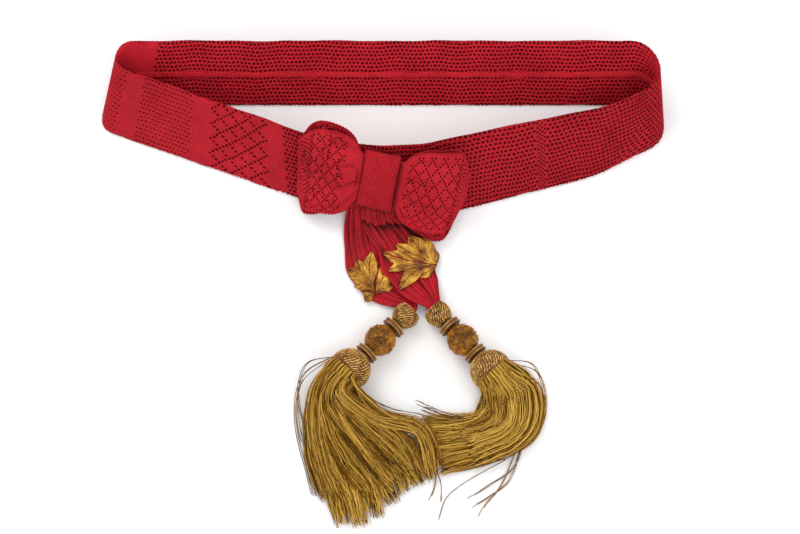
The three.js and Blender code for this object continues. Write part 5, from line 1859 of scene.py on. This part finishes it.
# %% Locks of the fringes
FRINGE_LENGTH, LOCK_WIDTH, LOCK_HEIGHT = 150 * mm, 13.5 * mm, 8 * mm
LOCKS = {
    "left": [
        (0.5, 0.62, -0.16, -0.13, -0.17, -0.37, -0.09, -0.64, 0.6, 0.5, 0.4),
        (0.6, 0.62, -0.1, -0.2, -0.08, -0.5, -0.01, -0.77, 0.7, 0.6, 0.4),
        (0.7, 0.62, -0.03, -0.26, 0.01, -0.5, 0.085, -0.78, 0.8, 0.6, 0.4),
        (0.8, 0.62, 0.03, -0.25, 0.09, -0.47, 0.17, -0.73, 0.8, 0.6, 0.4),
        (0.9, 0.62, 0.07, -0.21, 0.155, -0.42, 0.25, -0.66, 0.9, 0.7, 0.4),
        (0.98, 0.62, 0.1, -0.18, 0.22, -0.37, 0.32, -0.6, 1.1, 0.9, 0.4),
        (0.06, 0.62, 0.12, -0.24, 0.28, -0.36, 0.38, -0.56, 1.3, 1.4, 0.5),
        (0.14, 0.62, 0.15, -0.225, 0.38, -0.295, 0.45, -0.53, 1.5, 1.8, 0.5),
        (0.1, 0.62, 0.13, -0.22, 0.34, -0.37, 0.42, -0.55, 0.9, 0.6, 0.4),
        (0.42, 0.62, -0.15, -0.15, -0.12, -0.4, 0.0, -0.66, 1.4, 1.1, 0.8),
        (0.36, 0.62, -0.13, -0.14, -0.05, -0.37, 0.13, -0.62, 1.5, 1.2, 0.8),
        (0.25, 0.62, -0.09, -0.15, 0.06, -0.36, 0.25, -0.58, 1.6, 1.4, 0.9),
        (0.2, 0.3, 0.0, -0.17, 0.15, -0.33, 0.35, -0.52, 1.7, 1.6, 1.0),
    ],
    "right": [
        (0.0, 0.62, 0.2, -0.06, 0.18, -0.28, -0.3, -0.475, 0.6, 0.5, 0.35),
        (0.9, 0.62, 0.14, -0.1, 0.12, -0.28, -0.32, -0.42, 0.7, 0.5, 0.35),
        (0.8, 0.62, 0.08, -0.13, 0.05, -0.27, -0.34, -0.36, 0.7, 0.5, 0.35),
        (0.7, 0.62, 0.03, -0.14, -0.02, -0.25, -0.35, -0.3, 0.7, 0.5, 0.35),
        (0.58, 0.62, -0.01, -0.14, -0.08, -0.22, -0.37, -0.235, 0.7, 0.5, 0.35),
        (0.4, 0.62, 0.02, -0.14, 0.0, -0.24, -0.17, -0.3, 1.6, 1.3, 0.9),
        (0.25, 0.62, 0.1, -0.12, 0.08, -0.27, -0.14, -0.37, 1.7, 1.4, 0.9),
        (0.1, 0.62, 0.18, -0.08, 0.16, -0.28, -0.12, -0.43, 1.5, 1.2, 0.8),
    ],
}
STRANDS = {"left": 62, "right": 74}
# Width and height along a lock, as shares of its own
LOCK_FORM = [(0, 0.6, 0.9), (0.25, 1, 1.15), (0.6, 1.15, 1), (0.85, 1.25, 0.85), (1, 1.1, 0.6)]


def blend(t, start, end, a, b):
    """The point at t on a line that is at a for start and at b for end."""
    return (end - t) / (end - start) * a + (t - start) / (end - start) * b


def smooth_line(stops, count):
    """Points of a centripetal Catmull-Rom curve through the stops."""
    line = [np.array(stop, dtype=float) for stop in stops]
    line = [2 * line[0] - line[1], *line, 2 * line[-1] - line[-2]]
    knots = [0.0]
    for a, b in zip(line, line[1:]):
        knots.append(knots[-1] + float(np.linalg.norm(b - a)) ** 0.5)
    points = []
    for t in np.linspace(knots[1], knots[-2], count):
        i = min(max(int(np.searchsorted(knots, t, side="right")) - 1, 1), len(line) - 3)
        k, p = knots[i - 1 : i + 3], line[i - 1 : i + 3]
        a = [blend(t, k[j], k[j + 1], p[j], p[j + 1]) for j in range(3)]
        b = [blend(t, k[j], k[j + 2], a[j], a[j + 1]) for j in range(2)]
        points.append(blend(t, k[1], k[2], b[0], b[1]))
    return points


def lock_guide(chain, row, steps=24):
    """The guide of a lock: its line, the directions across and over it, and half its width and height."""
    turns, out, x1, y1, x2, y2, x3, y3, *heights = row
    flat = Vector((chain.along.x, chain.along.y, 0)).normalized()
    left = Vector((-flat.y, flat.x, 0))
    above = -chain.along.cross(left)
    angle, out = turns * math.tau, out * HEAD_RADIUS
    begin = chain.base + left * (out * math.cos(angle)) - above * (out * math.sin(angle))
    begin = begin + chain.along * (0.5 * LOCK_HEIGHT)
    stops = [begin, begin + flat * (0.7 * LOCK_WIDTH)]
    for x, y, height in zip((x1, x2, x3), (y1, y2, y3), heights):
        flat = (chain.base.x + x * FRINGE_LENGTH, chain.base.y + y * FRINGE_LENGTH)
        stops.append((*flat, height * LOCK_HEIGHT))
    line = smooth_line(stops, steps)
    guide = []
    for i, point in enumerate(line):
        ahead = Vector(line[min(i + 1, steps - 1)] - line[max(i - 1, 0)]).normalized()
        side = Vector((-ahead.y, ahead.x, 0)).normalized()
        top = ahead.cross(side).normalized()
        if top.z < 0:
            top = -top
        _, wide, high = read_table(LOCK_FORM, i / (steps - 1))
        half_height = min(high * LOCK_HEIGHT / 2, point[2] - CLEARANCE)
        guide.append((point, side, top, wide * LOCK_WIDTH / 2, half_height))
    return guide


def skirt_guides(chain, rows, count=40):
    """Thin guides round the head's mouth, each of which runs into the lock that starts nearest to it."""
    mouth = head_at + HEAD_LENGTH
    locks = [(lock_guide(chain, row), row[0]) for row in rows]
    made = []
    for i in range(count):
        angle = math.tau * i / count
        first = chain.at(mouth - 1.2 * mm, 0.9 * HEAD_RADIUS, angle)
        second = chain.at(mouth + 3.5 * mm, 0.97 * HEAD_RADIUS, angle)
        lock, _ = min(locks, key=lambda entry: (Vector(entry[0][0][0]) - first).length)
        shift = second - Vector(lock[3][0])
        guide = [(first, *lock[0][1:3], 1.2 * mm, 0.5 * mm), (second, *lock[3][1:3], 1.3 * mm, 0.7 * mm)]
        for k in range(5, len(lock), 2):
            fade = 1 - smoothstep(k, 3, 19)
            point, across, top, wide, high = lock[k]
            place = Vector(point) + shift * fade
            place.z = max(place.z, 1.2 * mm)
            wide = lerp(1.4 * mm, wide * 0.8, k / len(lock))
            high = lerp(0.8 * mm, high * 0.8, k / len(lock))
            guide.append((place, across, top, wide, min(high, place.z * 0.7)))
        made.append(guide)
    return made


for side, chain in chains.items():
    guides = [lock_guide(chain, row) for row in LOCKS[side]]
    short = skirt_guides(chain, LOCKS[side])
    skirt = grow_strands(f"fringe_{side}_skirt", short, thread, strands=8, seed=9, wander=1.6 * mm)
    lay_on_floor(skirt)
    dress(skirt, "gilt_thread", f"fringe_{side}")
    fringe = grow_strands(f"fringe_{side}_strands", guides, thread, strands=STRANDS[side], seed=5)
    lay_on_floor(fringe)
    dress(fringe, "gilt_thread", f"fringe_{side}")


# %% [markdown]
# Single strands have sprung out of the bundles: wide loops beside both heads, a few long ones to the lower
# right, and a tuft of cut ends in the middle. Each is listed by its way points in millimetres, two strands
# follow it, and their finish is the curls' brown, because a lone thread looks darker against the floor.

# %% Strays
STRAYS = {
    "left": [
        [(-40, -61, 24), (-60, -70.2, 12), (-66.5, -90.8, 3), (-65, -115.3, 1)]
        + [(-58, -142.3, 1), (-50.5, -171.3, 1), (-48, -180.3, 1)],
        [(-43, -63, 22), (-62, -76.7, 10), (-65, -100.8, 3), (-60, -128.5, 2)],
        [(-37, -60, 25), (-57, -62.3, 16), (-64, -75.1, 8), (-63, -98.8, 3), (-55, -123.3, 5)],
        [(-18, -83.3, 16), (-6, -91.2, 12), (9, -97.4, 9), (30, -101.1, 8), (44, -105.6, 6)],
        [(37, -133.6, 6), (41, -146.8, 3), (39.5, -158.3, 1), (35, -167.3, 1)],
        [(40, -141.3, 5), (44.5, -152.5, 2), (45, -168.3, 1)],
        [(13.7, -113, 9), (29, -109, 11), (39.5, -126, 9), (37, -144, 5)],
        [(10, -119, 9), (23, -116, 11), (33, -130, 9), (29, -149, 5)],
        [(2, -109, 11), (17.5, -125, 10), (35.5, -137, 6)],
        [(37, -103, 8), (33, -121, 11), (41, -143, 6)],
        [(-8, -111, 10), (8, -122, 10), (26, -142, 7)],
        [(18, -106, 8), (27, -122, 11), (22, -140, 9), (31, -152, 5)],
    ],
    "right": [
        [(92, -63, 26), (115, -63.3, 16), (123.5, -79.6, 6), (124.5, -98.8, 3), (115, -119.1, 4)],
        [(93, -64, 24), (119, -69.2, 12), (125.5, -91.1, 4), (121, -110.8, 3), (112, -122.8, 3)],
        [(109, -113, 7), (101, -140.5, 2), (82, -154.3, 1), (60, -168.3, 1)],
        [(108, -120, 6), (96, -152.3, 1), (80, -164.3, 1), (65.5, -173.3, 1)],
        [(107, -116, 6), (90, -156.3, 1), (79, -169.3, 1), (72, -180.8, 1)],
        [(94, -136, 6), (62, -153.4, 1.5), (49, -164.3, 1), (42.5, -183.3, 1)],
        [(60, -103.4, 9), (46, -99.4, 9), (32, -93.1, 8), (25, -89.9, 7)],
        [(62, -104.1, 8), (46, -101.4, 9), (33, -96.1, 8), (26, -92.6, 6)],
        [(58, -104.4, 9), (47, -102.7, 10), (38, -97.4, 9), (31, -95.1, 8)],
        [(56, -105.4, 9), (45, -103.4, 9), (36, -100.1, 8), (28, -96.9, 7)],
    ],
}


def stray_guide(stops):
    line = smooth_line([np.array(stop) * mm for stop in stops], 26)
    return [(point, (1, 0, 0), (0, 0, 1), 1.2 * mm, 0.2 * mm) for point in line]


for side in ("left", "right"):
    guides = [stray_guide(stops) for stops in STRAYS[side]]
    inputs = {"strands": 2, "wander": 0.5 * mm, "radius": 0.34 * mm, "seed": 21, "shortest": 0.85}
    strays = grow_strands(f"fringe_{side}_strays", guides, curled, **inputs)
    lay_on_floor(strays)
    dress(strays, "gilt_thread", f"fringe_{side}")


# %% [markdown]
# The size that each piece of cloth was before it was sewn, folded or gathered is printed, in metres.
# The band was knitted as a tube, so its cut is the tube pressed flat. The silk of the tails is the length
# along its folds. The lining of each piece, painted dark as a painted shade, or its own skin, stands for the
# cloth, and the knit on it goes with it.

# %% Cloth as it was cut
cuts["band_lining"], cuts["knot_ribbed"] = (girth / 2, loop_length), (0.04, 0.12)
sheets = [("band_lining", "laid", [], ["band_outside", "band_inside", "inner_seam_strip"])]
for side in ("left", "right"):
    on_loop = [f"bow_{side}_{part}" for part in ("outer", "inner", "edging")]
    sheets.append((f"bow_{side}_lining", "folded", ["band_lining"], on_loop))
sheets.append(("knot_ribbed", "gathered", ["bow_left_lining", "bow_right_lining"], []))
for side in ("left", "right"):
    on_tail = [f"leaf_{side}_{part}" for part in ("stitches", "vein")]
    sheets.append((f"tail_{side}_silk", "gathered", ["band_lining"], on_tail))
for name, held, under, others in sheets:
    flat = [round(length, 4) for length in cuts[name]]
    others = [bpy.data.objects[other] for other in others]
    print(name, "was cut to", flat, "and is", held)


# %% [markdown]
# The cells of the knit were only patterns, so they leave the scene.

# %% Remove the patterns
for pattern in (plain_cell, net_cell, eyelet_cell):
    bpy.data.objects.remove(pattern)
